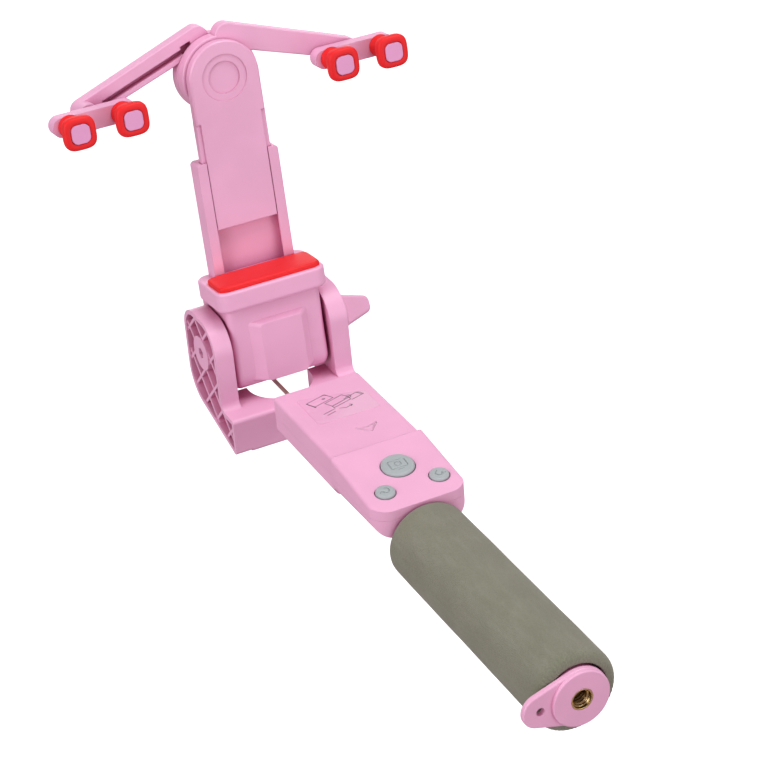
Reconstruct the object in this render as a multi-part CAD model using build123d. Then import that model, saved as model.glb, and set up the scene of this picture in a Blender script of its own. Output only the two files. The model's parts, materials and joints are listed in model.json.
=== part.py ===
"""Folding selfie stick with a motorised, four-hook phone clamp.

Row frame, millimetres: the handle's axis is Z, from the tripod thread at the origin up to the head.
-Y is the side with the control panel, +X is the user's right.  The head is drawn upright in a frame
of its own (x right, -y to the phone's screen, z up) and then tilted about the pivot in the yoke.
"""
from build123d import *
import math
import os

# ---- driving dimensions: handle ----
GRIP_R = 15.3
GRIP_START = 3.5
GRIP_END = 106.6
FOAM_BORE_R = 11.9
CORE_R = 11.7
CORE_BORE_R = 10.1
CORE_TOP = 106.8
CAP_R = 10.5
CAP_EAR_X = -14.4
CAP_EAR_R = 6.2
CAP_STEP = 1.3
CAP_DRAFT = 0.15
CAP_PLATE_TOP = 3.2
CAP_STEM_TOP = 14.0
INSERT_R = 4.0
INSERT_BORE_R = 2.55
INSERT_START = 0.0
INSERT_LENGTH = 9.0
LANYARD_R = 1.5

# ---- telescopic rod: each section slides in the one before it ----
ROD_Y = 1.5
ROD_OUTER_R = 5.0
ROD_WALL = 0.5
ROD_CLEARANCE = 0.1
ROD_STARTS = (18.0, 20.0, 22.0, 24.0)
ROD_ENDS = (193.0, 197.0, 201.0, 217.0)

# ---- control box ----
BOX_FRONT = -19.5
BOX_BACK = -4.0
BOX_LOW = 107.0
BOX_FOLD = 143.4
BOX_TOP = 194.5
BOX_HALF_W = 17.7
KEYPAD_HALF_W = 18.4
KEYPAD_TOP_FRONT = BOX_FRONT - 0.85
KEYPAD_LOW_FRONT = -15.8
KEYPAD_LOW_BACK = -5.0
KEYPAD_SLOPE = (KEYPAD_LOW_FRONT - KEYPAD_TOP_FRONT) / (BOX_FOLD - BOX_LOW)
KEYPAD_LEAN = math.atan(KEYPAD_SLOPE)
BOX_WALL = 1.6
BOX_SPLIT = -12.0
NECK_Y = 0.8
NECK_R = 7.0
BOARD_FRONT = -12.7
BOARD_BACK = -11.7
BOX_SCREW_X = 13.2
BOX_SCREW_Z = (150.0, 188.0)

# ---- keys: (x, height, radius) on the sloped keypad ----
SHUTTER_KEY = (0.8, 128.3, 6.1)
LEFT_KEY = (-9.8, 117.1, 3.6)
RIGHT_KEY = (11.4, 117.1, 3.6)
KEY_GAP = 0.3
KEY_PROUD = 1.3
KEY_TRAVEL = 0.4

# ---- yoke ----
EAR_INNER = 20.5
EAR_OUTER = 27.9
EAR_WALL = 1.8
EAR_FLOOR = 2.0
YOKE_LOW = 212.8
YOKE_FRONT = -3.0
YOKE_BACK = 12.5
YOKE_ARCH_R = 13.0
YOKE_ARCH_Z = 231.5
YOKE_POST_TOP = 234.0
YOKE_ROUND = 1.5
PIVOT_BOSS_R = 7.0
BOLT_HEAD_FLATS = 3.8
PIVOT_Y = -20.4
PIVOT_Z = 239.7
HEAD_TILT = 83.0
PIVOT_R = 1.45
BORE_GAP = 0.05
NUT_FLATS = 5.4
PIVOT_NUT_OUTER = 17.1
PIVOT_NUT_INNER = 14.7
KNOB_SCREW_START = 14.0
KNOB_TIP = 43.8

# ---- pod, in the head's frame ----
POD_HALF_W = 19.4
POD_HALF_D = 14.0
POD_LOW = -15.3
POD_TOP = 18.5
POD_WALL = 2.0
POD_FOOT_ROUND = 7.0
POD_SCREW_X = 13.0
POD_SCREW_Z = (-8.0, 13.0)
TURNTABLE_RECESS = 1.2
PANEL_PROUD = 2.6
MOTOR_R = 7.5
SHAFT_R = 2.0
LEAD_R = 1.0
LEAD_X = 0.5
LEAD_ROW_Y = 0.1
LEAD_START = 200.0
LEAD_CORNER_CUT = 2.3
LEAD_BEND_R = 2.8
LEAD_REACH = 1.4
GROMMET_FLANGE = 0.6
GROMMET_Y = 9.0

# ---- clamp, in the head's frame ----
TURNTABLE_R = 11.0
TRAY_LOW = 19.1
TRAY_TOP = 27.1
TRAY_HALF_W = 22.5
TRAY_FRONT = -17.0
TRAY_BACK = 9.0
PAD_TOP = 29.1
PAD_LENGTH = 42.0
PAD_DEPTH = 15.4
PAD_MIDDLE_Y = -7.5
RAIL_TOP = 73.0
RAIL_HALF_W = 16.6
SLIDER_HALF_W = 14.1
SLIDER_FRONT = 1.0
SLIDER_BACK = 4.6
SLIDER_LOW = 46.0
SLIDER_SHOULDER = RAIL_TOP + 14.8
DISH_RINGS = ((8.9, 0.5), (6.2, 1.2))
HUB_PIN_START = 3.3
HUB_Z = 103.5
HUB_R = 14.0
ARM_DISC_R = 15.2
ARM_INNER_X = 4.9
ARM_INNER_Z = 117.9
ARM_INNER_R = 4.7
ARM_HALF_W = 4.1
GROOVE_LENGTH = 40.0
GROOVE_SHIFT = -2.2
POCKET_LENGTH = 4.5
POCKET_WIDTH = 4.2
GROOVE_WIDTH = 2.2
GROOVE_DEPTH = 3.4
GROOVE_OFFSET = 1.2
RIGHT_ARM_Y = (4.9, 10.1)
LEFT_ARM_Y = (10.4, 15.4)
HUB_PIN_R = 2.5
BAR_X = 52.6
BAR_Z = 101.3
BAR_FRONT = -1.6
BAR_BACK = 4.6
BAR_HALF_L = 16.6
BAR_HALF_H = 3.7
BAR_FACE = 1.8
BAR_PIN_R = 1.9
HOOK_SPACING = 20.4
HOOK_FACE = -14.2
HOOK_HEAD_BACK = -9.6
HOOK_SQUARE = 12.4
HOOK_INSET = 7.0
HOOK_NECK_R = 3.4


def block(x0, x1, y0, y1, z0, z1):
    """Box between two corners."""
    centre = Pos((x0 + x1) / 2, (y0 + y1) / 2, (z0 + z1) / 2)
    return centre * Box(x1 - x0, y1 - y0, z1 - z0)


def post(r, z0, z1, x=0.0, y=0.0):
    """Cylinder along Z."""
    return Pos(x, y, (z0 + z1) / 2) * Cylinder(r, z1 - z0)


def bar_y(r, y0, y1, x=0.0, z=0.0):
    """Cylinder along Y."""
    return Pos(x, (y0 + y1) / 2, z) * Rot(90, 0, 0) * Cylinder(r, y1 - y0)


def bar_x(r, x0, x1, y=0.0, z=0.0):
    """Cylinder along X."""
    return Pos((x0 + x1) / 2, y, z) * Rot(0, 90, 0) * Cylinder(r, x1 - x0)


def slab_y(sketch, y0, y1):
    """Sketch drawn in x and z, extruded from y0 to y1."""
    plane = Plane((0, y1, 0), x_dir=(1, 0, 0), z_dir=(0, -1, 0))
    return extrude(plane * sketch, y1 - y0)


def hexagon_x(flats, x0, x1, y=0.0, z=0.0):
    """Hexagonal prism along X, measured across its flats."""
    sketch = RegularPolygon(flats / 2, 6, major_radius=False)
    return extrude(Plane((x0, y, z), x_dir=(0, 1, 0), z_dir=(1, 0, 0)) * sketch, x1 - x0)


# ---------------- handle ----------------
def foam_grip():
    """Foam sleeve over the core tube, drawn in over its lower end."""
    sleeve = post(GRIP_R, GRIP_START, GRIP_END)
    rims = sleeve.edges().filter_by(GeomType.CIRCLE).sort_by(Axis.Z)
    sleeve = fillet(rims[0], 3.9)
    rims = sleeve.edges().filter_by(GeomType.CIRCLE).sort_by(Axis.Z)
    sleeve = fillet(rims[-1], 3.0)
    sleeve -= post(FOAM_BORE_R, GRIP_START + 3.0, GRIP_END + 1)
    return sleeve - post(CAP_R + 0.5, GRIP_START - 1, GRIP_START + 4)


def handle_core():
    """Plastic tube under the foam."""
    return post(CORE_R, GRIP_START + 3.2, CORE_TOP) - post(CORE_BORE_R, 0, CORE_TOP + 1)


def end_cap():
    """Disc and lanyard ear in one teardrop plate, with a stem that plugs the core tube."""
    disc = Circle(CAP_R)
    ear = Pos(CAP_EAR_X, 0) * Circle(CAP_EAR_R)
    teardrop = make_hull(disc.edges() + ear.edges())
    cap = extrude(Plane.XY.offset(CAP_STEP) * teardrop, CAP_PLATE_TOP - CAP_STEP)
    cap = fillet(cap.edges().group_by(Axis.Z)[0], 0.6)
    boss = post(CAP_R - CAP_DRAFT, 0, CAP_PLATE_TOP - 0.5)
    boss = fillet(boss.edges().group_by(Axis.Z)[0], 0.5)
    cap += boss
    cap += post(CORE_BORE_R - 0.1, CAP_PLATE_TOP, CAP_STEM_TOP)
    cap -= post(INSERT_R, -1, INSERT_START + INSERT_LENGTH)
    return cap - post(LANYARD_R, 0, CAP_PLATE_TOP + 1, x=CAP_EAR_X)


def tripod_insert():
    """Brass insert for a 1/4 inch camera screw."""
    z_top = INSERT_START + INSERT_LENGTH
    return post(INSERT_R, INSERT_START, z_top) - post(INSERT_BORE_R, -1, z_top + 1)


def rod_section(index):
    """One tube of the telescopic rod."""
    outer = ROD_OUTER_R - index * (ROD_WALL + ROD_CLEARANCE)
    tube = post(outer, ROD_STARTS[index], ROD_ENDS[index], y=ROD_Y)
    return tube - post(outer - ROD_WALL, ROD_STARTS[index] - 1, ROD_ENDS[index] + 1, y=ROD_Y)


def rod_bush():
    """Ring that centres the foot of the outer tube in the core."""
    ring = post(CORE_BORE_R - 0.1, ROD_STARTS[0], ROD_STARTS[0] + 8)
    return ring - post(ROD_OUTER_R, 0, 60, y=ROD_Y)


# ---------------- control box ----------------
def box_section(z, front, back, half_w, rear_r, inset):
    """Section of the box at one height: flat front, larger rounds at the rear."""
    w = half_w - inset
    low, high = front + inset, back - inset
    front_r = 1.4 if inset == 0 else 0.4
    rear = max(rear_r - inset, 1.0)
    corners = [(-w, low), (w, low), (w, high), (-w, high)]
    outline = FilletPolyline(*corners, radius=[front_r, front_r, rear, rear], close=True)
    return Plane.XY.offset(z) * make_face(outline)


def box_body(inset):
    """Outer form of the box, or the cavity inside it when inset is the wall."""
    low, fold, top = BOX_LOW + inset, BOX_FOLD, BOX_TOP - inset
    low_front = KEYPAD_LOW_FRONT - inset * KEYPAD_SLOPE
    keypad = loft([
        box_section(low, low_front, KEYPAD_LOW_BACK, KEYPAD_HALF_W, 6.5, inset),
        box_section(fold, KEYPAD_TOP_FRONT, BOX_BACK, KEYPAD_HALF_W, 6.5, inset),
    ], ruled=True)
    upper = loft([
        box_section(fold - 0.01, BOX_FRONT, BOX_BACK, BOX_HALF_W, 3.4, inset),
        box_section(top, BOX_FRONT, BOX_BACK, BOX_HALF_W, 3.4, inset),
    ], ruled=True)
    corner_r = 7.0 - inset
    trim = Pos(0, (low + top) / 2) * Rectangle(2 * (KEYPAD_HALF_W - inset), top - low)
    trim = fillet(trim.vertices().group_by(Axis.Y)[0], corner_r)
    trim = fillet(trim.vertices().group_by(Axis.Y)[-1], 2.4)
    return (keypad + upper) & slab_y(trim, -40, 20)


def keypad_front(z):
    """Depth of the keypad's face at a height."""
    return KEYPAD_TOP_FRONT + (BOX_FOLD - z) * KEYPAD_SLOPE


def keypad_place(x, z):
    """Frame on the sloped keypad, its z axis pointing out of the face."""
    return Location((x, keypad_front(z), z), (90 + math.degrees(KEYPAD_LEAN), 0, 0))


def key_hole(key):
    x, z, r = key
    return keypad_place(x, z) * Cylinder(r + KEY_GAP, 8)


def box_screw_bosses(y0, y1, r):
    bosses = [bar_y(r, y0, y1, x=side * BOX_SCREW_X, z=z) for side in (-1, 1) for z in BOX_SCREW_Z]
    return sum(bosses[1:], bosses[0])


def box_front_shell():
    """Front half with the keypad openings and four screw bosses."""
    shell = box_body(0) - box_body(BOX_WALL)
    front = shell & block(-30, 30, -40, BOX_SPLIT, BOX_LOW - 5, BOX_TOP + 5)
    front += box_screw_bosses(BOX_FRONT + 1, BOX_SPLIT, 2.0)
    front -= box_screw_bosses(-15.5, BOX_SPLIT + 1, 0.8)
    for key in (SHUTTER_KEY, LEFT_KEY, RIGHT_KEY):
        front -= key_hole(key)
    return front


def box_rear_shell():
    """Rear half: a plug and flange for the core, a neck round the rod, the charging port's opening."""
    shell = box_body(0) - box_body(BOX_WALL)
    rear = shell & block(-30, 30, BOX_SPLIT, 20, BOX_LOW - 5, BOX_TOP + 5)
    rear += post(NECK_R, BOX_LOW, BOX_TOP - 4, y=NECK_Y)
    rear += post(CORE_R, CORE_TOP, CORE_TOP + 1.6)
    rear += post(CORE_BORE_R - 0.1, CORE_TOP - 14, CORE_TOP)
    rear += box_screw_bosses(BOX_SPLIT, BOX_BACK - 0.5, 2.2)
    rear -= box_screw_bosses(BOX_SPLIT - 1, BOX_BACK + 1, 0.9)
    rear -= box_screw_bosses(BOX_BACK - 1.5, BOX_BACK + 1, 1.7)
    rear -= post(ROD_OUTER_R, CORE_TOP - 15, BOX_TOP, y=ROD_Y)
    return rear - block(-4.1, 4.1, BOARD_BACK, -8.5, BOX_TOP - 3, BOX_TOP + 1)


def box_screws():
    """Four self-tapping screws, heads at the rear."""
    shanks = box_screw_bosses(-15.4, BOX_BACK - 1.5, 0.8)
    heads = box_screw_bosses(BOX_BACK - 1.5, BOX_BACK - 0.3, 1.6)
    screws = shanks + heads
    for side in (-1, 1):
        for z in BOX_SCREW_Z:
            slot = block(-1.0, 1.0, BOX_BACK - 0.8, BOX_BACK, -0.25, 0.25)
            screws -= Pos(side * BOX_SCREW_X, 0, z) * slot
            screws -= Pos(side * BOX_SCREW_X, 0, z) * Rot(0, 90, 0) * slot
    return screws


def instruction_label():
    """Clear pictogram label stuck on the upper part of the box's face."""
    corners = [(-11.4, 167.3), (13.6, 167.3), (13.6, 181.0), (-11.4, 188.0)]
    outline = FilletPolyline(*corners, radius=1.2, close=True)
    return slab_y(make_face(outline), BOX_FRONT - 0.12, BOX_FRONT)


def key(spec):
    """Domed rubber key with a flange under the shell and a stem down to its switch."""
    x, z, r = spec
    cap = Pos(0, 0, -0.35) * Cylinder(r, 2 * KEY_PROUD + 0.7)
    rim = cap.edges().filter_by(GeomType.CIRCLE).sort_by(Axis.Z)[-1]
    cap = fillet(rim, 0.8)
    flange = Pos(0, 0, -BOX_WALL - 0.65) * Cylinder(r + 0.7, 0.7)
    board_depth = key_board_depth(z)
    stem_end = board_depth - 1.0 - KEY_TRAVEL - 0.15
    stem = Pos(0, 0, -(BOX_WALL + stem_end) / 2) * Cylinder(1.2, stem_end - BOX_WALL)
    return keypad_place(x, z) * (cap + flange + stem)


def key_board_depth(z):
    """Distance from the keypad's face to the board, along the key."""
    return (BOARD_FRONT - keypad_front(z)) / math.cos(KEYPAD_LEAN)


def tact_switches():
    """One push switch on the board behind each key."""
    switches = []
    for x, z, _ in (SHUTTER_KEY, LEFT_KEY, RIGHT_KEY):
        height = z + key_board_depth(z) * math.sin(KEYPAD_LEAN)
        body = block(x - 1.8, x + 1.8, BOARD_FRONT - 0.6, BOARD_FRONT, height - 1.8, height + 1.8)
        switches.append(body + bar_y(0.9, BOARD_FRONT - 0.8, BOARD_FRONT - 0.5, x=x, z=height))
    return Compound(children=switches)


def circuit_board():
    """Board, wider behind the keypad than between the screw bosses."""
    board = block(-10.9, 10.9, BOARD_FRONT, BOARD_BACK, BOX_LOW + 4.5, BOX_TOP - 4)
    return board + block(-14.0, 14.0, BOARD_FRONT, BOARD_BACK, BOX_LOW + 4.5, BOX_FOLD)


def battery():
    cell = block(-10.5, 10.5, BOARD_BACK + 0.2, NECK_Y - NECK_R - 0.3, 147, 184)
    return fillet(cell.edges().filter_by(Axis.Z), 1.2)


def charge_socket():
    """Metal charging socket on the board, its mouth in the box's head end."""
    socket = block(-3.8, 3.8, BOARD_BACK, -8.9, 187.5, BOX_TOP - 0.4)
    socket = fillet(socket.edges().filter_by(Axis.Z), 0.6)
    mouth = block(-3.3, 3.3, BOARD_BACK + 0.4, -9.3, 190, BOX_TOP)
    return socket - mouth


# ---------------- yoke ----------------
def ear_outline(inset=0.0):
    """Side view of an ear: a rounded head round the pivot, running down into the base."""
    corners = [(-36.5, 224.2), (-36.5, 254.0), (0.5, 254.0), (YOKE_BACK, YOKE_LOW),
               (YOKE_FRONT, YOKE_LOW), (YOKE_FRONT, 223.2)]
    radii = [12.0, 10.0, 14.0, YOKE_ROUND, YOKE_ROUND, 3.0]
    face = make_face(FilletPolyline(*corners, radius=radii, close=True))
    if inset:
        face = offset(face, -inset)
    return face


def ear(side):
    """One ear: a floor on the inner side, a rim round it, crossed ribs and the pivot boss."""
    def along_x(face, x0, x1):
        start = min(side * x0, side * x1)
        return extrude(Plane.YZ.offset(start) * face, abs(x1 - x0))

    plate = along_x(ear_outline(), EAR_INNER, EAR_OUTER)
    hollow = along_x(ear_outline(EAR_WALL), EAR_INNER + EAR_FLOOR, EAR_OUTER)
    ribs = []
    for lean in (45, -45):
        for step in range(-3, 4):
            rib = Pos(0, 0, step * 9.0) * block(-40, 40, -40, 40, -0.6, 0.6)
            ribs.append(Pos(0, PIVOT_Y + 6, PIVOT_Z - 2) * Rot(lean, 0, 0) * rib)
    lattice = along_x(ear_outline(EAR_WALL - 0.2), EAR_INNER + EAR_FLOOR - 0.2, EAR_OUTER - 0.7)
    lattice &= sum(ribs[1:], ribs[0])
    boss = bar_x(PIVOT_BOSS_R, *sorted((side * (EAR_INNER + 1), side * (EAR_OUTER - 0.2))), PIVOT_Y, PIVOT_Z)
    return plate - hollow + lattice + boss


def yoke_fork():
    """Both ears on one base block with an arched opening, bored for the rod's tip and the lead."""
    base = block(-EAR_INNER - 0.5, EAR_INNER + 0.5, YOKE_FRONT, YOKE_BACK, YOKE_LOW, YOKE_POST_TOP)
    arch = Pos(0, YOKE_ARCH_Z) * Circle(YOKE_ARCH_R)
    arch += Pos(0, YOKE_ARCH_Z + 20) * Rectangle(2 * YOKE_ARCH_R, 40)
    base -= slab_y(arch, -40, 40)
    low_edges = base.edges().filter_by(Axis.X).group_by(Axis.Z)[0]
    base = fillet(low_edges, YOKE_ROUND)
    fork = base + ear(-1) + ear(1)
    tip_r = ROD_OUTER_R - 3 * (ROD_WALL + ROD_CLEARANCE)
    fork -= post(tip_r, YOKE_LOW - 1, ROD_ENDS[3], y=ROD_Y)
    fork -= post(tip_r - ROD_WALL, ROD_ENDS[3] - 1, YOKE_ARCH_Z, y=ROD_Y)
    fork -= bar_x(PIVOT_R + BORE_GAP, -EAR_OUTER - 1, EAR_OUTER + 1, PIVOT_Y, PIVOT_Z)
    return fork - hexagon_x(BOLT_HEAD_FLATS + 0.1, -EAR_OUTER - 1, -EAR_OUTER + 4.5, PIVOT_Y, PIVOT_Z)


def tilt_pivot_bolt():
    """Hexagon-headed pivot bolt, its head held in the left ear's pocket."""
    head = hexagon_x(BOLT_HEAD_FLATS, -EAR_OUTER + 1.3, -EAR_OUTER + 4.4, PIVOT_Y, PIVOT_Z)
    return head + bar_x(PIVOT_R, -EAR_OUTER + 4.4, -PIVOT_NUT_INNER + 0.7, PIVOT_Y, PIVOT_Z)


def tilt_pivot_nut():
    """Lock nut on the pivot bolt, inside the pod."""
    nut = hexagon_x(NUT_FLATS, -PIVOT_NUT_OUTER, -PIVOT_NUT_INNER, PIVOT_Y, PIVOT_Z)
    return nut - bar_x(PIVOT_R, -20, -10, PIVOT_Y, PIVOT_Z)


def friction_washers():
    """One washer between each ear and the pod."""
    def washer(x0, x1):
        ring = bar_x(5.0, x0, x1, PIVOT_Y, PIVOT_Z)
        return ring - bar_x(PIVOT_R + BORE_GAP, x0 - 1, x1 + 1, PIVOT_Y, PIVOT_Z)
    return Compound(children=[washer(-EAR_INNER, -POD_HALF_W - 0.1), washer(POD_HALF_W + 0.1, EAR_INNER)])


def tilt_knob():
    """Thumb knob: a round hub with a blade that narrows to a blunt tip."""
    hub = bar_x(7.5, EAR_OUTER + 0.3, EAR_OUTER + 4.5, PIVOT_Y, PIVOT_Z)
    hub = fillet(hub.edges().filter_by(GeomType.CIRCLE).sort_by(Axis.X)[-1], 1.2)
    corners = [(EAR_OUTER + 3.5, -6.7), (KNOB_TIP, -3.0), (KNOB_TIP, 3.0), (EAR_OUTER + 3.5, 6.7)]
    face = make_face(FilletPolyline(*corners, radius=[0.5, 2.7, 2.7, 0.5], close=True))
    blade = extrude(Plane.XY.offset(-3.0) * face, 6.0)
    blade = fillet(blade.edges().group_by(Axis.Z)[0] + blade.edges().group_by(Axis.Z)[-1], 1.3)
    knob = hub + Pos(0, PIVOT_Y, PIVOT_Z) * Rot(-30, 0, 0) * blade
    return knob - bar_x(PIVOT_R, EAR_OUTER, KNOB_TIP - 3.8, PIVOT_Y, PIVOT_Z)


def tilt_knob_screw():
    """Steel screw fixed in the knob, threaded into the pod's nut."""
    return bar_x(PIVOT_R, KNOB_SCREW_START, KNOB_TIP - 3.8, PIVOT_Y, PIVOT_Z)


def lead_route():
    """The motor lead's centre line: up out of the rod's bore, then forward into the pod."""
    tilt = math.radians(HEAD_TILT)
    end_y = PIVOT_Y + GROMMET_Y * math.cos(tilt) - (POD_LOW + LEAD_REACH) * math.sin(tilt)
    end_z = PIVOT_Z + GROMMET_Y * math.sin(tilt) + (POD_LOW + LEAD_REACH) * math.cos(tilt)
    reach = (LEAD_ROW_Y - end_y) / math.sin(tilt)
    turn_z = end_z - reach * math.cos(tilt)
    cut = LEAD_CORNER_CUT
    return [
        (LEAD_X, LEAD_ROW_Y, LEAD_START),
        (LEAD_X, LEAD_ROW_Y, turn_z - cut),
        (LEAD_X, LEAD_ROW_Y - cut * math.sin(tilt), turn_z + cut * math.cos(tilt)),
        (LEAD_X, end_y, end_z),
    ]


def motor_lead():
    """Thin sheathed lead between the rod's mouth and the pod."""
    points = lead_route()
    path = FilletPolyline(*points, radius=[LEAD_BEND_R, LEAD_BEND_R])
    section = Plane(points[0], z_dir=(0, 0, 1)) * Circle(LEAD_R)
    return sweep(section, path)


# ---------------- pod, in the head's frame ----------------
def pod_body(inset):
    """Rounded housing, or its cavity."""
    w, d = POD_HALF_W - inset, POD_HALF_D - inset
    body = block(-w, w, -d, d, POD_LOW + inset, POD_TOP - inset)
    body = fillet(body.edges().filter_by(Axis.X).group_by(Axis.Z)[0], POD_FOOT_ROUND - inset)
    return fillet(body.edges().filter_by(Axis.Z), 2.5 - inset / 2)


def pod_panel():
    """Raised front panel with sloping sides."""
    back = Plane((0, -POD_HALF_D + 1.0, -1.0), x_dir=(1, 0, 0), z_dir=(0, -1, 0))
    front = Plane((0, -POD_HALF_D - PANEL_PROUD, -0.5), x_dir=(1, 0, 0), z_dir=(0, -1, 0))
    base = back * Pos(0, 1.6) * RectangleRounded(27.0, 24.4, 1.5)
    face = front * Pos(0.6, 0) * RectangleRounded(17.0, 23.4, 1.5)
    return loft([base, face], ruled=True)


def pod_bores():
    """Pivot bore, shaft bore and lead hole through the pod."""
    bores = bar_x(PIVOT_R + BORE_GAP, -POD_HALF_W - 1, POD_HALF_W + 1)
    bores += post(3.2, POD_TOP - 4, POD_TOP + 1)
    bores += post(TURNTABLE_R + 0.4, POD_TOP - TURNTABLE_RECESS, POD_TOP + 1)
    return bores + post(2.2, POD_LOW - 1, POD_LOW + 3, x=LEAD_X, y=GROMMET_Y)


def pod_shell():
    shell = pod_body(0) + pod_panel() - pod_body(POD_WALL)
    pocket = hexagon_x(8.4, POD_HALF_W - 4.6, POD_HALF_W - 1)
    nut_seat = pocket & block(0, POD_HALF_W - 1, -20, 20, -20, 20)
    return shell + nut_seat - hexagon_x(NUT_FLATS + 0.1, POD_HALF_W - 4.7, POD_HALF_W - 2.2) - pod_bores()


def pod_screw_places():
    return [(x, z) for x in (-POD_SCREW_X, POD_SCREW_X) for z in POD_SCREW_Z]


def pod_front_shell():
    front = pod_shell() & block(-25, 25, -20, 0, -20, 25)
    for x, z in pod_screw_places():
        front += bar_y(2.0, -POD_HALF_D + 1, 0, x=x, z=z)
        front -= bar_y(0.8, -8, 1, x=x, z=z)
    return front - bar_x(PIVOT_R + BORE_GAP, -POD_HALF_W - 1, POD_HALF_W + 1)


def pod_rear_shell():
    rear = pod_shell() & block(-25, 25, 0, 20, -20, 25)
    for x, z in pod_screw_places():
        rear += bar_y(2.2, 0, POD_HALF_D - 1, x=x, z=z)
        rear -= bar_y(0.9, -1, POD_HALF_D + 1, x=x, z=z)
        rear -= bar_y(1.8, POD_HALF_D - 1.6, POD_HALF_D + 1, x=x, z=z)
    return rear - bar_x(PIVOT_R + BORE_GAP, -POD_HALF_W - 1, POD_HALF_W + 1)


def pod_screws():
    screws = []
    for x, z in pod_screw_places():
        screw = bar_y(0.8, -7.8, POD_HALF_D - 1.6, x=x, z=z)
        screws.append(screw + bar_y(1.6, POD_HALF_D - 1.6, POD_HALF_D - 0.3, x=x, z=z))
    return Compound(children=screws)


def gear_motor():
    """Motor can."""
    can = post(MOTOR_R, -11.0, 6.0)
    return fillet(can.edges().filter_by(GeomType.CIRCLE).sort_by(Axis.Z)[0], 0.8)


def gearbox():
    """Gearbox on the motor, bored for the output shaft."""
    box = post(8.2, 6.0, POD_TOP - POD_WALL - 0.3)
    return box - post(SHAFT_R, 9.0, POD_TOP)


def knob_nut():
    nut = hexagon_x(NUT_FLATS, POD_HALF_W - 4.6, POD_HALF_W - 2.2)
    return nut - bar_x(PIVOT_R + BORE_GAP, 10, 20)


def thrust_washer():
    floor = POD_TOP - TURNTABLE_RECESS
    return post(9.0, floor, floor + 0.3) - post(3.2, floor - 1, floor + 1)


def lead_grommet():
    """Rubber grommet where the lead enters the pod."""
    ring = post(2.2, POD_LOW, POD_LOW + POD_WALL, x=LEAD_X, y=GROMMET_Y)
    ring += post(3.0, POD_LOW - GROMMET_FLANGE, POD_LOW, x=LEAD_X, y=GROMMET_Y)
    return ring - post(LEAD_R + BORE_GAP, POD_LOW - 2, POD_LOW + 4, x=LEAD_X, y=GROMMET_Y)


# ---------------- turntable and clamp, in the head's frame ----------------
def turntable_disc():
    disc = post(TURNTABLE_R, POD_TOP - TURNTABLE_RECESS + 0.5, TRAY_LOW)
    return disc - post(SHAFT_R - BORE_GAP, POD_TOP - 3, TRAY_LOW + 1)


def output_shaft():
    return post(SHAFT_R - BORE_GAP, 9.5, TRAY_LOW + 4)


def clamp_tray():
    """Tray that the phone's lower edge stands on, with a pocket for the pad."""
    depth = TRAY_BACK - TRAY_FRONT
    outline = Pos(0, (TRAY_FRONT + TRAY_BACK) / 2) * RectangleRounded(2 * TRAY_HALF_W, depth, 5.0)
    tray = extrude(Plane.XY.offset(TRAY_LOW) * outline, TRAY_TOP - TRAY_LOW)
    tray = fillet(tray.edges().group_by(Axis.Z)[0], 1.4)
    tray = fillet(tray.edges().group_by(Axis.Z)[-1], 0.9)
    tray -= extrude(Plane.XY.offset(TRAY_TOP - 1.2) * pad_outline(0.0), 5)
    tray -= post(SHAFT_R - BORE_GAP, 0, TRAY_LOW + 4)
    for x in (-10.0, 10.0):
        tray -= post(0.8, TRAY_TOP - 5, TRAY_TOP + 1, x=x, y=6.6)
    return tray


def pad_outline(inset):
    return Pos(0, PAD_MIDDLE_Y) * RectangleRounded(PAD_LENGTH - 2 * inset, PAD_DEPTH - 2 * inset, 3.6 - inset)


def tray_pad():
    """Rubber pad with a small dimple."""
    pad = extrude(Plane.XY.offset(TRAY_TOP - 1.2) * pad_outline(0.0), PAD_TOP - TRAY_TOP + 1.2)
    pad = fillet(pad.edges().group_by(Axis.Z)[-1], 0.8)
    return pad - post(0.9, PAD_TOP - 0.6, PAD_TOP + 1, x=-5.0, y=-12.0)


def spine_rail():
    """Channel behind the phone that the slider runs in, footed on the tray."""
    rail = block(-RAIL_HALF_W, RAIL_HALF_W, 5.0, 8.2, TRAY_TOP, RAIL_TOP)
    for side in (-1, 1):
        x0, x1 = sorted((side * (SLIDER_HALF_W + 0.3), side * RAIL_HALF_W))
        rail += block(x0, x1, 0.8, 5.0, TRAY_TOP, RAIL_TOP)
        x0, x1 = sorted((side * 12.6, side * (SLIDER_HALF_W + 0.4)))
        rail += block(x0, x1, 0.8, 1.5, TRAY_TOP, RAIL_TOP)
    rail = fillet(rail.edges().filter_by(Axis.Y).group_by(Axis.Z)[-1].sort_by(Axis.X)[0], 1.5)
    rail = fillet(rail.edges().filter_by(Axis.Y).group_by(Axis.Z)[-1].sort_by(Axis.X)[-1], 1.5)
    for x in (-10.0, 10.0):
        rail -= post(0.8, TRAY_TOP - 1, TRAY_TOP + 6, x=x, y=6.6)
    return rail


def rail_screws():
    """Two screws up through the tray into the rail's foot."""
    return Compound(children=[post(0.8, TRAY_TOP - 5, TRAY_TOP + 6, x=x, y=6.6) for x in (-10.0, 10.0)])


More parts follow.
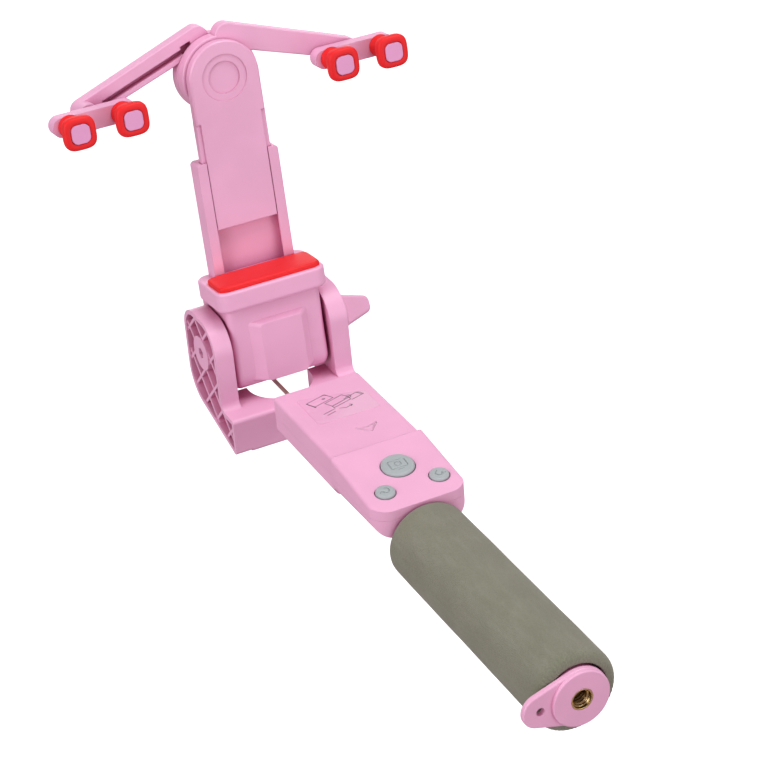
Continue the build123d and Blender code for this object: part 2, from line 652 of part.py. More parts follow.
def clamp_slider():
    """Plate that slides in the rail and ends in the round hub with its dished face."""
    plate = block(-SLIDER_HALF_W, SLIDER_HALF_W, 1.8, SLIDER_BACK, SLIDER_LOW, SLIDER_SHOULDER + 1)
    plate += block(-12.3, 12.3, SLIDER_FRONT, 1.8, SLIDER_LOW, SLIDER_SHOULDER + 1)
    head = Pos(0, HUB_Z) * Circle(HUB_R)
    neck = Pos(0, (SLIDER_SHOULDER + HUB_Z) / 2) * Rectangle(2 * HUB_R, HUB_Z - SLIDER_SHOULDER)
    arch = slab_y(head + neck, SLIDER_FRONT, SLIDER_BACK)
    arch = chamfer(arch.faces().sort_by(Axis.Y)[0].edges(), 0.5)
    plate += arch
    for ring_r, depth in DISH_RINGS:
        plate -= bar_y(ring_r, SLIDER_FRONT - 1, SLIDER_FRONT + depth, z=HUB_Z)
    return plate - bar_y(HUB_PIN_R, HUB_PIN_START, 6, z=HUB_Z)


def hub_pin():
    """Pin from the slider's back through both arms."""
    return bar_y(HUB_PIN_R, HUB_PIN_START, 16.9, z=HUB_Z) - bar_y(1.2, 9.0, 17.5, z=HUB_Z)


def hub_back_cap():
    cap = bar_y(9.0, 15.7, 17.4, z=HUB_Z)
    cap = fillet(cap.edges().filter_by(GeomType.CIRCLE).sort_by(Axis.Y)[-1], 0.7)
    return cap - bar_y(HUB_PIN_R, 15, 18, z=HUB_Z)


def hub_screw():
    screw = bar_y(1.2, 9.0, 17.4, z=HUB_Z)
    screw += bar_y(2.9, 17.4, 18.8, z=HUB_Z)
    screw -= block(-1.6, 1.6, 18.2, 19, HUB_Z - 0.3, HUB_Z + 0.3)
    return screw - block(-0.3, 0.3, 18.2, 19, HUB_Z - 1.6, HUB_Z + 1.6)


def arm_outline(side):
    """Hub disc and a straight arm from its rim down to the hook bar's pivot."""
    inner = Pos(side * ARM_INNER_X, ARM_INNER_Z) * Circle(ARM_INNER_R)
    outer = Pos(side * BAR_X, BAR_Z) * Circle(ARM_HALF_W)
    arm = make_hull(inner.edges() + outer.edges())
    return arm + Pos(0, HUB_Z) * Circle(ARM_DISC_R)


def arm_frame(side, y):
    """Frame half way along the arm on its face, x along the arm."""
    run = Vector(side * (BAR_X - ARM_INNER_X), 0, BAR_Z - ARM_INNER_Z)
    middle = Vector(side * (BAR_X + ARM_INNER_X) / 2, y, (BAR_Z + ARM_INNER_Z) / 2)
    return Plane(middle, x_dir=run.normalized(), z_dir=(0, -1, 0))


def arm(side, y_span):
    """Folding arm, grooved along one face, bored for the hub pin and the bar's pin."""
    y0, y1 = y_span
    body = slab_y(arm_outline(side), y0, y1)
    body = chamfer(body.faces().sort_by(Axis.Y)[0].edges(), 0.4)
    grooved_y = y0 if side < 0 else y1
    groove = Pos(GROOVE_SHIFT, GROOVE_OFFSET, 0) * Box(GROOVE_LENGTH, GROOVE_WIDTH, 2 * GROOVE_DEPTH)
    pocket_x = GROOVE_SHIFT - (GROOVE_LENGTH - POCKET_LENGTH) / 2
    groove += Pos(pocket_x, GROOVE_OFFSET, 0) * Box(POCKET_LENGTH, POCKET_WIDTH, 2 * GROOVE_DEPTH)
    body -= arm_frame(side, grooved_y).location * groove
    body -= bar_y(HUB_PIN_R + BORE_GAP, y0 - 1, y1 + 1, z=HUB_Z)
    return body - bar_y(BAR_PIN_R, y0 - 1, y1 - 1.2, x=side * BAR_X, z=BAR_Z)


def left_arm():
    """The left arm lies behind the right one and reaches its bar with a spacer."""
    spacer = bar_y(ARM_HALF_W, RIGHT_ARM_Y[0], LEFT_ARM_Y[0] + 0.5, x=-BAR_X, z=BAR_Z)
    spacer -= bar_y(BAR_PIN_R, 0, 12, x=-BAR_X, z=BAR_Z)
    return arm(-1, LEFT_ARM_Y) + spacer


def bar_pin(side):
    """Pin from a blind bore in the hook bar's back into the arm's end."""
    y_end = (LEFT_ARM_Y if side < 0 else RIGHT_ARM_Y)[1] - 1.3
    return bar_y(BAR_PIN_R, BAR_FRONT + BAR_FACE + 0.2, y_end, x=side * BAR_X, z=BAR_Z)


def hook_places(side):
    return [side * BAR_X - HOOK_SPACING / 2, side * BAR_X + HOOK_SPACING / 2]


def hook_bar(side):
    """Short rocking bar that carries two hooks."""
    outline = Pos(side * BAR_X, BAR_Z) * SlotOverall(2 * BAR_HALF_L, 2 * BAR_HALF_H)
    body = slab_y(outline, BAR_FRONT, BAR_BACK)
    body = fillet(body.faces().sort_by(Axis.Y)[-1].edges(), 0.8)
    body -= bar_y(BAR_PIN_R + BORE_GAP, BAR_FRONT + BAR_FACE, BAR_BACK + 1, x=side * BAR_X, z=BAR_Z)
    for x in hook_places(side):
        body -= bar_y(1.8, BAR_FRONT - 1, BAR_FRONT + 4, x=x, z=BAR_Z)
    return body


def hook_core(x):
    """Stud that carries a sleeve, ending in a square button."""
    stud = bar_y(1.8, HOOK_FACE + 1.2, BAR_FRONT + 4, x=x, z=BAR_Z)
    face = Pos(x, BAR_Z) * RectangleRounded(HOOK_INSET, HOOK_INSET, 2.2)
    return stud + slab_y(face, HOOK_FACE - 0.2, HOOK_FACE + 1.4)


def hook_sleeve(x):
    """Rubber sleeve: flared foot, round neck and a square head."""
    foot = Pos(x, BAR_FRONT - 1.7, BAR_Z) * Rot(90, 0, 0) * Cone(4.4, HOOK_NECK_R, 3.4)
    neck = bar_y(HOOK_NECK_R, HOOK_HEAD_BACK, BAR_FRONT - 3.4, x=x, z=BAR_Z)
    front = (1, 0, 0), (0, -1, 0)
    round_face = Plane((x, HOOK_HEAD_BACK + 1.2, BAR_Z), *front) * Circle(HOOK_NECK_R)
    square = RectangleRounded(HOOK_SQUARE, HOOK_SQUARE, 4.0)
    square_face = Plane((x, HOOK_HEAD_BACK - 0.8, BAR_Z), *front) * square
    flare = loft([round_face, square_face])
    head = slab_y(Pos(x, BAR_Z) * square, HOOK_FACE, HOOK_HEAD_BACK - 0.8)
    head = fillet(head.faces().sort_by(Axis.Y)[0].edges(), 0.9)
    return foot + neck + flare + head - hook_core(x)


# ---------------- build every piece ----------------
def head_pieces():
    """Pieces drawn in the head's frame."""
    pieces = {
        "pod_front_shell": pod_front_shell(),
        "pod_rear_shell": pod_rear_shell(),
        "pod_screws": pod_screws(),
        "gear_motor": gear_motor(),
        "gearbox": gearbox(),
        "knob_nut": knob_nut(),
        "thrust_washer": thrust_washer(),
        "lead_grommet": lead_grommet(),
        "turntable_disc": turntable_disc(),
        "output_shaft": output_shaft(),
        "clamp_tray": clamp_tray(),
        "tray_pad": tray_pad(),
        "spine_rail": spine_rail(),
        "rail_screws": rail_screws(),
        "clamp_slider": clamp_slider(),
        "hub_pin": hub_pin(),
        "hub_back_cap": hub_back_cap(),
        "hub_screw": hub_screw(),
        "left_arm": left_arm(),
        "right_arm": arm(1, RIGHT_ARM_Y),
    }
    for name, side in (("left", -1), ("right", 1)):
        pieces[name + "_bar_pin"] = bar_pin(side)
        pieces[name + "_hook_bar"] = hook_bar(side)
        places = hook_places(side)
        pieces[name + "_hook_cores"] = Compound(children=[hook_core(x) for x in places])
        pieces[name + "_hook_sleeves"] = Compound(children=[hook_sleeve(x) for x in places])
    return pieces


def handle_pieces():
    """Pieces drawn in the row frame."""
    return {
        "foam_grip": foam_grip(),
        "handle_core": handle_core(),
        "end_cap": end_cap(),
        "tripod_insert": tripod_insert(),
        "rod_bush": rod_bush(),
        "rod_tube_outer": rod_section(0),
        "rod_tube_second": rod_section(1),
        "rod_tube_third": rod_section(2),
        "rod_tube_tip": rod_section(3),
        "box_front_shell": box_front_shell(),
        "box_rear_shell": box_rear_shell(),
        "box_screws": box_screws(),
        "instruction_label": instruction_label(),
        "shutter_button": key(SHUTTER_KEY),
        "rotate_left_button": key(LEFT_KEY),
        "rotate_right_button": key(RIGHT_KEY),
        "tact_switches": tact_switches(),
        "circuit_board": circuit_board(),
        "battery": battery(),
        "charge_socket": charge_socket(),
        "yoke_fork": yoke_fork(),
        "tilt_pivot_bolt": tilt_pivot_bolt(),
        "tilt_pivot_nut": tilt_pivot_nut(),
        "friction_washers": friction_washers(),
        "tilt_knob": tilt_knob(),
        "tilt_knob_screw": tilt_knob_screw(),
        "motor_lead": motor_lead(),
    }


os.makedirs("parts", exist_ok=True)
head_place = Location((0, PIVOT_Y, PIVOT_Z), (HEAD_TILT, 0, 0))
everything = handle_pieces()
for name, piece in head_pieces().items():
    everything[name] = head_place * piece
for name, piece in everything.items():
    export_step(piece, "parts/" + name + ".step")
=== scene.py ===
# %% [markdown]
# # A folding selfie stick with a four-hook phone clamp
# The frame holds the hard parts at their real size: shells, rod, yoke, pod, rail and arms. This lesson
# gives them their surfaces, and makes the soft and finely worked pieces that a CAD kernel leaves plain:
# the foam sleeve, the rubber keys, pad and hook sleeves, the brass thread, the screws and the motor's lead.

# %% Load the frame
import json
import math

import bpy
import numpy as np
from mathutils import Matrix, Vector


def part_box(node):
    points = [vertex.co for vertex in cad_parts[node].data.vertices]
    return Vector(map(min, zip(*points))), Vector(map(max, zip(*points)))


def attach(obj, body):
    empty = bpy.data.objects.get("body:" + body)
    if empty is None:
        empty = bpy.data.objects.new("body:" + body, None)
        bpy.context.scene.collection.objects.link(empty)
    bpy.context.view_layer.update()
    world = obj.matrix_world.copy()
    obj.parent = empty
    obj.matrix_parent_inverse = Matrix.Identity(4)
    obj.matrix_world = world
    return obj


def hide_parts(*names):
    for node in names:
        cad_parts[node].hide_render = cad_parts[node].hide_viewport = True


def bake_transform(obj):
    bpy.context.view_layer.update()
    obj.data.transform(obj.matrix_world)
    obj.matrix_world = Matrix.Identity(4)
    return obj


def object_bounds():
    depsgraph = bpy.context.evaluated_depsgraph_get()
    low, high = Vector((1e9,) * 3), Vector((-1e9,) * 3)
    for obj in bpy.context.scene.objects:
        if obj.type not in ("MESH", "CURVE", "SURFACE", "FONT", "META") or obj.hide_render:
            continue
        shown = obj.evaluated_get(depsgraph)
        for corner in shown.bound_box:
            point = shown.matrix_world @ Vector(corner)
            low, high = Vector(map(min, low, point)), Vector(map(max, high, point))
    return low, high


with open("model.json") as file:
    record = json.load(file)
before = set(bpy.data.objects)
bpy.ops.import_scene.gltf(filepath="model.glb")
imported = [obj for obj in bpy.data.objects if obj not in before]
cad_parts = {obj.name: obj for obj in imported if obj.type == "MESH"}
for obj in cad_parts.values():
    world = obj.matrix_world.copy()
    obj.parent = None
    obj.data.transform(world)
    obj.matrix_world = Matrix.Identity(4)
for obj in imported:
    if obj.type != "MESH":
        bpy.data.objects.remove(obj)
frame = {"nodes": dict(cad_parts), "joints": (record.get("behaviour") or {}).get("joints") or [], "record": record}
cad_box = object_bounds()
MM = 0.001

# %% [markdown]
# Two parts of the stick lie at an angle: the keypad slopes, and the whole head leans forward on the
# yoke's pivot. Both frames could be typed in again here, but the joints already know them. A key moves
# along the keypad's normal, and the head pans about its own upright axis.

# %% Read the leaning frames from the joints
joints = {joint["name"]: joint for joint in frame["joints"]}
RIGHT = np.array([1.0, 0.0, 0.0])


def box_mm(node):
    """Lowest and highest corner of a node, in millimetres."""
    low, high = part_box(node)
    return np.array(low) / MM, np.array(high) / MM


class Seat:
    """A local frame: a point p = (x, y, z) of it lies at origin + x * right + y * back + z * up."""

    def __init__(self, origin, up):
        self.origin = np.array(origin, float)
        self.up = np.array(up, float) / np.linalg.norm(up)
        self.back = np.cross(self.up, RIGHT)

    def place(self, points):
        """Local millimetres to the object's millimetres."""
        return self.origin + np.asarray(points, float) @ np.stack([RIGHT, self.back, self.up])

    def box(self, node):
        """Lowest and highest corner of a node in this frame, in millimetres."""
        points = np.array([vertex.co[:] for vertex in frame["nodes"][node].data.vertices]) / MM
        local = (points - self.origin) @ np.stack([RIGHT, self.back, self.up]).T
        return local.min(0), local.max(0)


HANDLE = Seat((0, 0, 0), (0, 0, 1))
HEAD = Seat(np.array(joints["tilt"]["pos_m"]) / MM, joints["pan"]["axis"])
KEY_OUT = -np.array(joints["shutter_press"]["axis"])
print("the head's upright axis is", np.round(HEAD.up, 3), "and the keypad faces", np.round(KEY_OUT, 3))

# %% [markdown]
# ## Camera, backdrop and light
# The stick is held out towards the viewer's hand, so the camera stands below its end cap and looks up
# along it. A long lens keeps the far clamp nearly as large as it is. The light is a big soft window above,
# weaker ones at the sides, and a low warm glow from all round, which keeps the plastic's shadows pink.

# %% Set up the camera
CAMERA_AT = (-0.30147, -0.48142, -0.54394)
CAMERA_RIGHT = np.array([0.89329, 0.07402, -0.44335])
CAMERA_UP = np.array([0.28091, -0.86194, 0.42208])
LENS_MM = 116.83
SENSOR_MM = 36.0

CAMERA_BACK = np.cross(CAMERA_RIGHT, CAMERA_UP)
camera_data = bpy.data.cameras.new("camera")
camera_data.lens = LENS_MM
camera_data.sensor_width = SENSOR_MM
camera_data.clip_end = 50
camera = bpy.data.objects.new("camera", camera_data)
camera.matrix_world = Matrix(np.column_stack([CAMERA_RIGHT, CAMERA_UP, CAMERA_BACK]).tolist()).to_4x4()
camera.location = CAMERA_AT
bpy.context.scene.collection.objects.link(camera)
bpy.context.scene.camera = camera
bpy.context.scene.view_settings.view_transform = "Standard"
print("the camera looks along", np.round(-CAMERA_BACK, 3))

# %% Hang the lights by the camera's own axes
MIDDLE = np.array((cad_box[0] + cad_box[1]) / 2)
LIGHT_DISTANCE = 1.5


def soft_window(name, right, up, back, width, watts):
    """Square lamp facing MIDDLE, from a direction given along the camera's own right, up and back."""
    away = right * CAMERA_RIGHT + up * CAMERA_UP + back * CAMERA_BACK
    away = away / np.linalg.norm(away)
    lamp = bpy.data.lights.new(name, "AREA")
    lamp.size = width
    lamp.energy = watts
    held = bpy.data.objects.new(name, lamp)
    side = np.cross(CAMERA_UP, away)
    side = side / np.linalg.norm(side)
    held.matrix_world = Matrix(np.column_stack([side, np.cross(away, side), away]).tolist()).to_4x4()
    held.location = MIDDLE + LIGHT_DISTANCE * away
    bpy.context.scene.collection.objects.link(held)


soft_window("window_above", 0.30, 0.90, 0.42, 1.0, 12.5)
soft_window("window_beside", 0.90, -0.15, 0.75, 0.9, 5.0)
soft_window("window_front", -0.75, -0.10, 0.75, 1.1, 12.0)
soft_window("window_behind", -0.20, 0.45, -0.95, 1.0, 6.0)

world = bpy.data.worlds.new("even_glow")
world.use_nodes = True
world.node_tree.nodes["Background"].inputs["Color"].default_value = (1.0, 0.80, 0.87, 1)
world.node_tree.nodes["Background"].inputs["Strength"].default_value = 0.40
bpy.context.scene.world = world

# %% [markdown]
# ## Materials as small formulas
# A finish is a formula over the surface: noise for grain, a band for a stripe, a mask for edges made paler by wear
# and a painted highlight.
# Dragging nodes about hides that formula. A socket wrapped in a small class, whose operators add Math
# nodes, lets it be read as arithmetic, and one method makes every other node.


# %% A signal is a socket with arithmetic
class Signal:
    """A number that changes over a surface."""

    def __init__(self, finish, socket):
        self.finish = finish
        self.socket = socket

    def __add__(self, other):
        return self.finish.maths("ADD", self, other)

    def __sub__(self, other):
        return self.finish.maths("SUBTRACT", self, other)

    def __rsub__(self, other):
        return self.finish.maths("SUBTRACT", other, self)

    def __mul__(self, other):
        return self.finish.maths("MULTIPLY", self, other)

    __radd__ = __add__
    __rmul__ = __mul__


class Finish:
    """A material being written: its shader, and one method for each kind of step."""

    def __init__(self, name, **shader):
        self.material = bpy.data.materials.new(name)
        self.material.use_nodes = True
        self.tree = self.material.node_tree
        self.shader = self.tree.nodes["Principled BSDF"]
        for words, value in shader.items():
            self.paint(words.replace("_", " "), value)

    def join(self, value, socket):
        """A signal or a socket is linked; anything else becomes the socket's own value."""
        source = value.socket if isinstance(value, Signal) else value
        if isinstance(source, bpy.types.NodeSocket):
            self.tree.links.new(source, socket)
        else:
            socket.default_value = source

    def paint(self, words, value):
        """Feeds one of the shader's sockets."""
        self.join(value, self.shader.inputs[words])

    def node(self, kind, settings, sockets):
        """Adds a node of that kind, with its settings made first and its sockets filled after."""
        made = self.tree.nodes.new("ShaderNode" + kind)
        for words, value in settings.items():
            setattr(made, words, value)
        for words, value in sockets.items():
            self.join(value, made.inputs[words])
        return made

    def maths(self, operation, *values):
        """One Math node as a signal."""
        made = self.node("Math", {"operation": operation}, dict(enumerate(values)))
        return Signal(self, made.outputs[0])

    def place(self, stretch=(1, 1, 1), turn=(0, 0, 0)):
        """Object coordinates in millimetres, stretched and turned as asked."""
        coordinates = self.node("TexCoord", {}, {}).outputs["Object"]
        scale = [s / MM for s in stretch]
        return self.node("Mapping", {}, {"Vector": coordinates, "Rotation": turn, "Scale": scale}).outputs[0]

    def noise(self, place, per_mm, detail=2.0, roughness=0.5):
        """Soft cloudy noise from 0 to 1, with that many clouds in a millimetre."""
        sockets = {"Vector": place, "Scale": per_mm, "Detail": detail, "Roughness": roughness}
        return Signal(self, self.node("TexNoise", {}, sockets).outputs[0])

    def cells(self, place, per_mm):
        """Distance to the middle of the nearest cell, for pores."""
        made = self.node("TexVoronoi", {}, {"Vector": place, "Scale": per_mm})
        return Signal(self, made.outputs["Distance"])

    def band(self, signal, low, high):
        """0 below low and 1 above high, smooth between; turned round where low is above high."""
        sockets = {"Value": signal, "From Min": low, "From Max": high}
        return Signal(self, self.node("MapRange", {"interpolation_type": "SMOOTHSTEP"}, sockets).outputs[0])

    def mix(self, share, first, second):
        """Colour that goes from first to second."""
        made = self.node("Mix", {"data_type": "RGBA"}, {0: share, 6: first, 7: second})
        return made.outputs[2]

    def along(self, place, axis):
        """One of the three coordinates as a signal."""
        return Signal(self, self.node("SeparateXYZ", {}, {"Vector": place}).outputs[axis])

    def rounded(self, radius_mm):
        """The normal as if every edge had that radius."""
        return self.node("Bevel", {"samples": 4}, {"Radius": radius_mm * MM}).outputs[0]

    def edge(self, rounded):
        """0 on a face, rising to 1 over an edge, from how far the rounded normal leaves the true one."""
        true = self.node("NewGeometry", {}, {}).outputs["Normal"]
        made = self.node("VectorMath", {"operation": "DOT_PRODUCT"}, {0: rounded, 1: true})
        return self.band(Signal(self, made.outputs["Value"]), 0.998, 0.86)

    def hollow(self, reach_mm):
        """0 in the open, rising to 1 deep in a corner or a slot; the finishes darken their colour by it, as painted
        shade.
        """
        made = self.node("AmbientOcclusion", {"samples": 4}, {"Distance": reach_mm * MM})
        return 1 - Signal(self, made.outputs["AO"])

    def relief(self, height, depth_mm, under=None, strength=1.0):
        """Bumps the surface by a height signal whose 0 to 1 is that deep, and feeds the shader's normal."""
        sockets = {"Height": height, "Distance": depth_mm * MM, "Strength": strength}
        if under is not None:
            sockets["Normal"] = under
        self.paint("Normal", self.node("Bump", {}, sockets).outputs[0])


def tint(colour, share=1.0):
    """Red, green and blue times a share, with full opacity."""
    return (*[min(1.0, share * c) for c in colour], 1.0)


print("finishes are written with", [n for n in vars(Finish) if not n.startswith("_")])

# %% [markdown]
# ### Moulded pink plastic
# Most of the stick is one pink plastic, moulded with a fine spark-eroded skin. It could be one flat
# colour, but the real one drifts a little from wall to wall, glows deeper in slots because light bounces
# from pink to pink, has a faint skin, and is polished by hands along its edges. The deeper pink in slots
# is painted shade, and the paler edges are partly wear and partly a painted highlight.

# %% The pinks
PINK = (0.895, 0.480, 0.695)
PAINTED_SHADE_PINK = (0.50, 0.055, 0.20)


def pink_plastic(name, colour=PINK, gloss=0.36, skin=0.012, depth=1.0):
    """A drift between two near pinks, deeper in hollows as painted shade and paler on edges by wear and a painted
    highlight, over a fine noise.
    """
    finish = Finish(name, IOR=1.50, Coat_Weight=0.10, Coat_Roughness=0.22, Subsurface_Weight=0.0)
    place = finish.place()
    drift = finish.band(finish.noise(place, 0.05), 0.35, 0.65)
    grain = finish.noise(place, 5.0, detail=3, roughness=0.65)
    smear = finish.noise(finish.place(stretch=(1, 1, 0.35)), 0.35, detail=3)
    round_normal = finish.rounded(0.45)
    edge = finish.edge(round_normal)
    hollow = finish.hollow(9)
    body = finish.mix(drift, tint(colour, 0.975), tint(colour, 1.02))
    # Painted shade: the colour runs to a deep pink wherever ambient occlusion finds a hollow or a slot.
    body = finish.mix(finish.band(hollow, 0.25, 1.0) * (0.85 * depth), body, tint(PAINTED_SHADE_PINK))
    speckle = finish.band(finish.noise(place, 1.6, detail=1), 0.66, 0.74) * 0.05
    body = finish.mix(speckle, body, tint(colour, 0.7))
    # Edges painted paler: partly wear, partly a painted highlight.
    finish.paint("Base Color", finish.mix(edge * 0.16, body, tint((0.97, 0.66, 0.82))))
    finish.paint("Roughness", gloss + 0.10 * grain + 0.10 * smear - 0.10 * edge)
    finish.relief(grain, skin, under=round_normal)
    return finish.material


pink = pink_plastic("pink_moulded")
pink_satin = pink_plastic("pink_satin", gloss=0.30, skin=0.007)
pink_matte = pink_plastic("pink_matte", gloss=0.46, skin=0.02)
CORE_PINK = (0.86, 0.40, 0.68)
pink_core = pink_plastic("pink_core", colour=CORE_PINK, gloss=0.38, skin=0.01, depth=0.4)
print("pinks:", pink.name, pink_satin.name, pink_matte.name, pink_core.name)

# %% [markdown]
# ### Rubber: hook sleeves, pad and keys
# Silicone rubber is matt at a grazing look and slightly greasy straight on. Dust clings to it, so its
# colour is paler in a fine speckle. The red pieces and the grey-green keys share that formula.


# %% The rubbers
def silicone(name, colour, pale, gloss=0.42, dust=0.10, wear_and_highlight=0.10, reach=3.0):
    """Paler in a fine dust and on edges, by wear and a painted highlight, and darker within reach of a corner as
    painted shade.
    """
    finish = Finish(name, IOR=1.43, Sheen_Weight=0.06, Sheen_Roughness=0.4, Coat_Roughness=0.35)
    place = finish.place()
    film = finish.noise(place, 0.25, detail=4)
    fleck = finish.band(finish.noise(place, 6.0, detail=2), 0.60, 0.74)
    grain = finish.noise(place, 8.0, detail=2)
    round_normal = finish.rounded(0.3)
    edge = finish.edge(round_normal)
    body = finish.mix(film, tint(colour, 0.94), tint(colour, 1.04))
    # Painted shade: darker within reach of a corner, from ambient occlusion.
    body = finish.mix(finish.band(finish.hollow(reach), 0.25, 0.9) * 0.6, body, tint(colour, 0.40))
    # Dust flecks are real; the paler edges are partly wear and partly a painted highlight, strongest on the keys.
    finish.paint("Base Color", finish.mix(fleck * dust + edge * wear_and_highlight, body, tint(pale)))
    finish.paint("Roughness", gloss + 0.14 * film + 0.05 * grain)
    finish.paint("Coat Weight", 0.08 * film)
    finish.relief(grain, 0.010, under=round_normal)
    return finish.material


RED, RED_DUST_AND_HIGHLIGHT = (0.90, 0.012, 0.015), (0.95, 0.20, 0.18)
SAGE, SAGE_DUST_AND_HIGHLIGHT = (0.41, 0.485, 0.485), (0.78, 0.84, 0.83)
red_rubber = silicone("red_silicone", RED, RED_DUST_AND_HIGHLIGHT, gloss=0.46, dust=0.04)
key_rubber = silicone("key_silicone", SAGE, SAGE_DUST_AND_HIGHLIGHT, gloss=0.36, wear_and_highlight=0.45, reach=1.2)
print("rubbers:", red_rubber.name, key_rubber.name)

# %% [markdown]
# ### Foam
# The grip is closed-cell foam, cut and ground to a sleeve. Ground foam shows the walls of its open pores
# as a fine sand, a little darker in each pore, with slow stains from hands. Its light scatters, so it is
# fully rough with some sheen.


# %% The foam
def ground_foam():
    """Height is one minus the distance to the nearest pore, at two sizes, and colour darkens in the pores."""
    finish = Finish("ground_foam", IOR=1.35, Specular_IOR_Level=0.18, Sheen_Weight=0.25, Sheen_Roughness=0.6)
    place = finish.place()
    pores = finish.cells(place, 3.2)
    fine = finish.noise(place, 7.0, detail=3, roughness=0.7)
    stain = finish.band(finish.noise(place, 0.06, detail=4), 0.30, 0.70)
    rub = finish.band(finish.noise(finish.place(stretch=(1, 1, 0.25)), 0.4, detail=3), 0.45, 0.75)
    sand = finish.band(pores * 0.6 + fine * 0.5, 0.35, 0.75)
    body = finish.mix(stain, (0.228, 0.247, 0.172, 1), (0.264, 0.284, 0.203, 1))
    body = finish.mix(sand * 0.50, body, (0.140, 0.146, 0.100, 1))
    body = finish.mix(rub * 0.12, body, (0.42, 0.42, 0.35, 1))
    # Painted shade: darker within reach of a corner, from ambient occlusion.
    body = finish.mix(finish.band(finish.hollow(2.5), 0.3, 1.0) * 0.5, body, (0.09, 0.095, 0.07, 1))
    finish.paint("Base Color", body)
    finish.paint("Roughness", 0.82 + 0.15 * fine)
    finish.relief(pores * -0.8 + fine * 0.7, 0.16)
    return finish.material


foam = ground_foam()
print("foam:", foam.name)

# %% [markdown]
# ### Metals
# Three metals show: the chrome rod, drawn to size and so lined along its length; the turned brass of the
# thread, lined round it; and zinc-plated steel, with a faint mottle in its plating. Each is the same idea,
# noise stretched along the tool's travel, so one function serves them all.


# %% The metals
def worked_metal(name, colour, stain, gloss, stretch, lines, spots=0.15, painted_shade=(1.2, 0.5)):
    """Noise squeezed along the tool's travel gives the lines, and cloudy noise the stain in the plating.

    Its last argument is painted shade: how far in millimetres a corner darkens the metal, and by what share.
    """
    finish = Finish(name, Metallic=1.0)
    lined = finish.noise(finish.place(stretch=stretch), 9.0, detail=3, roughness=0.6)
    cloud = finish.band(finish.noise(finish.place(), 0.7, detail=4), 0.40, 0.75)
    round_normal = finish.rounded(0.12)
    edge = finish.edge(round_normal)
    body = finish.mix(cloud * spots, tint(colour), tint(stain))
    reach, share = painted_shade
    # Painted shade: corners darken towards a fifth of the stain colour.
    body = finish.mix(finish.band(finish.hollow(reach), 0.15, 0.70) * share, body, tint(stain, 0.2))
    # Edges painted brighter: partly wear, partly a painted highlight.
    finish.paint("Base Color", finish.mix(edge * 0.4, body, tint(colour, 1.15)))
    finish.paint("Roughness", gloss + 0.10 * lined + 0.12 * cloud - 0.05 * edge)
    finish.relief(lined, lines, under=round_normal)
    return finish.material


BRIGHT, BRIGHT_STAIN = (0.80, 0.80, 0.82), (0.55, 0.55, 0.56)
GOLD, GOLD_STAIN = (0.83, 0.61, 0.29), (0.45, 0.26, 0.09)
GREY, GREY_STAIN = (0.62, 0.62, 0.63), (0.36, 0.37, 0.40)
chrome = worked_metal("drawn_chrome", BRIGHT, BRIGHT_STAIN, 0.06, (1, 1, 0.03), lines=0.002)
# The thread's bore is painted nearly black inside, as shade.
brass = worked_metal(
    "turned_brass", GOLD, GOLD_STAIN, 0.16, (0.2, 0.2, 3.0), lines=0.006, spots=0.4, painted_shade=(9.0, 0.97)
)
zinc = worked_metal("zinc_steel", GREY, GREY_STAIN, 0.26, (1, 1, 1), lines=0.006, spots=0.5)
print("metals:", chrome.name, brass.name, zinc.name)


# %% [markdown]
# ### Small hard pieces
# The switches, the core tube, the washers, the cell and the board are seen only through gaps or when a
# piece is taken off, and still each has its own surface: moulded black and white, a dimpled foil pouch,
# and a green board whose copper tracks show as pale lines under the lacquer.

# %% Black, white, foil, board, film and sheath
def plain_moulding(name, colour, pale, gloss, skin=0.012):
    """A moulded plastic with a drift of colour, pale edges from wear and a painted highlight, and a fine skin."""
    finish = Finish(name, IOR=1.48)
    place = finish.place()
    grain = finish.noise(place, 4.5, detail=3)
    drift = finish.noise(place, 0.3, detail=3)
    round_normal = finish.rounded(0.2)
    edge = finish.edge(round_normal)
    body = finish.mix(drift, tint(colour, 0.88), tint(colour, 1.1))
    # Edges painted paler: partly wear, partly a painted highlight.
    finish.paint("Base Color", finish.mix(edge * 0.3 + grain * 0.06, body, tint(pale)))
    finish.paint("Roughness", gloss + 0.18 * drift)
    finish.relief(grain, skin, under=round_normal)
    return finish.material


def foil_pouch():
    """Embossed foil: a fine net of dimples over a soft crumple."""
    finish = Finish("foil_pouch", Metallic=0.85)
    place = finish.place()
    dimple = finish.cells(place, 1.4)
    crumple = finish.noise(place, 0.25, detail=4)
    finish.paint("Base Color", finish.mix(crumple, (0.52, 0.53, 0.56, 1), (0.72, 0.73, 0.75, 1)))
    finish.paint("Roughness", 0.26 + 0.20 * crumple)
    finish.relief(dimple * 0.3 + crumple, 0.12)
    return finish.material


def lacquered_board():
    """Green lacquer over copper: stretched cells stand for tracks, which lie a little proud."""
    finish = Finish("lacquered_board", IOR=1.52, Coat_Weight=0.5, Coat_Roughness=0.12)
    tracks = finish.band(finish.cells(finish.place(stretch=(1, 1, 0.22)), 0.8), 0.30, 0.36)
    grain = finish.noise(finish.place(), 5.0)
    finish.paint("Base Color", finish.mix(tracks, (0.035, 0.20, 0.07, 1), (0.012, 0.10, 0.035, 1)))
    finish.paint("Roughness", 0.28 + 0.12 * grain)
    finish.relief(1 - tracks, 0.03)
    return finish.material


LABEL_LOW, LABEL_HIGH = box_mm("instruction_label")


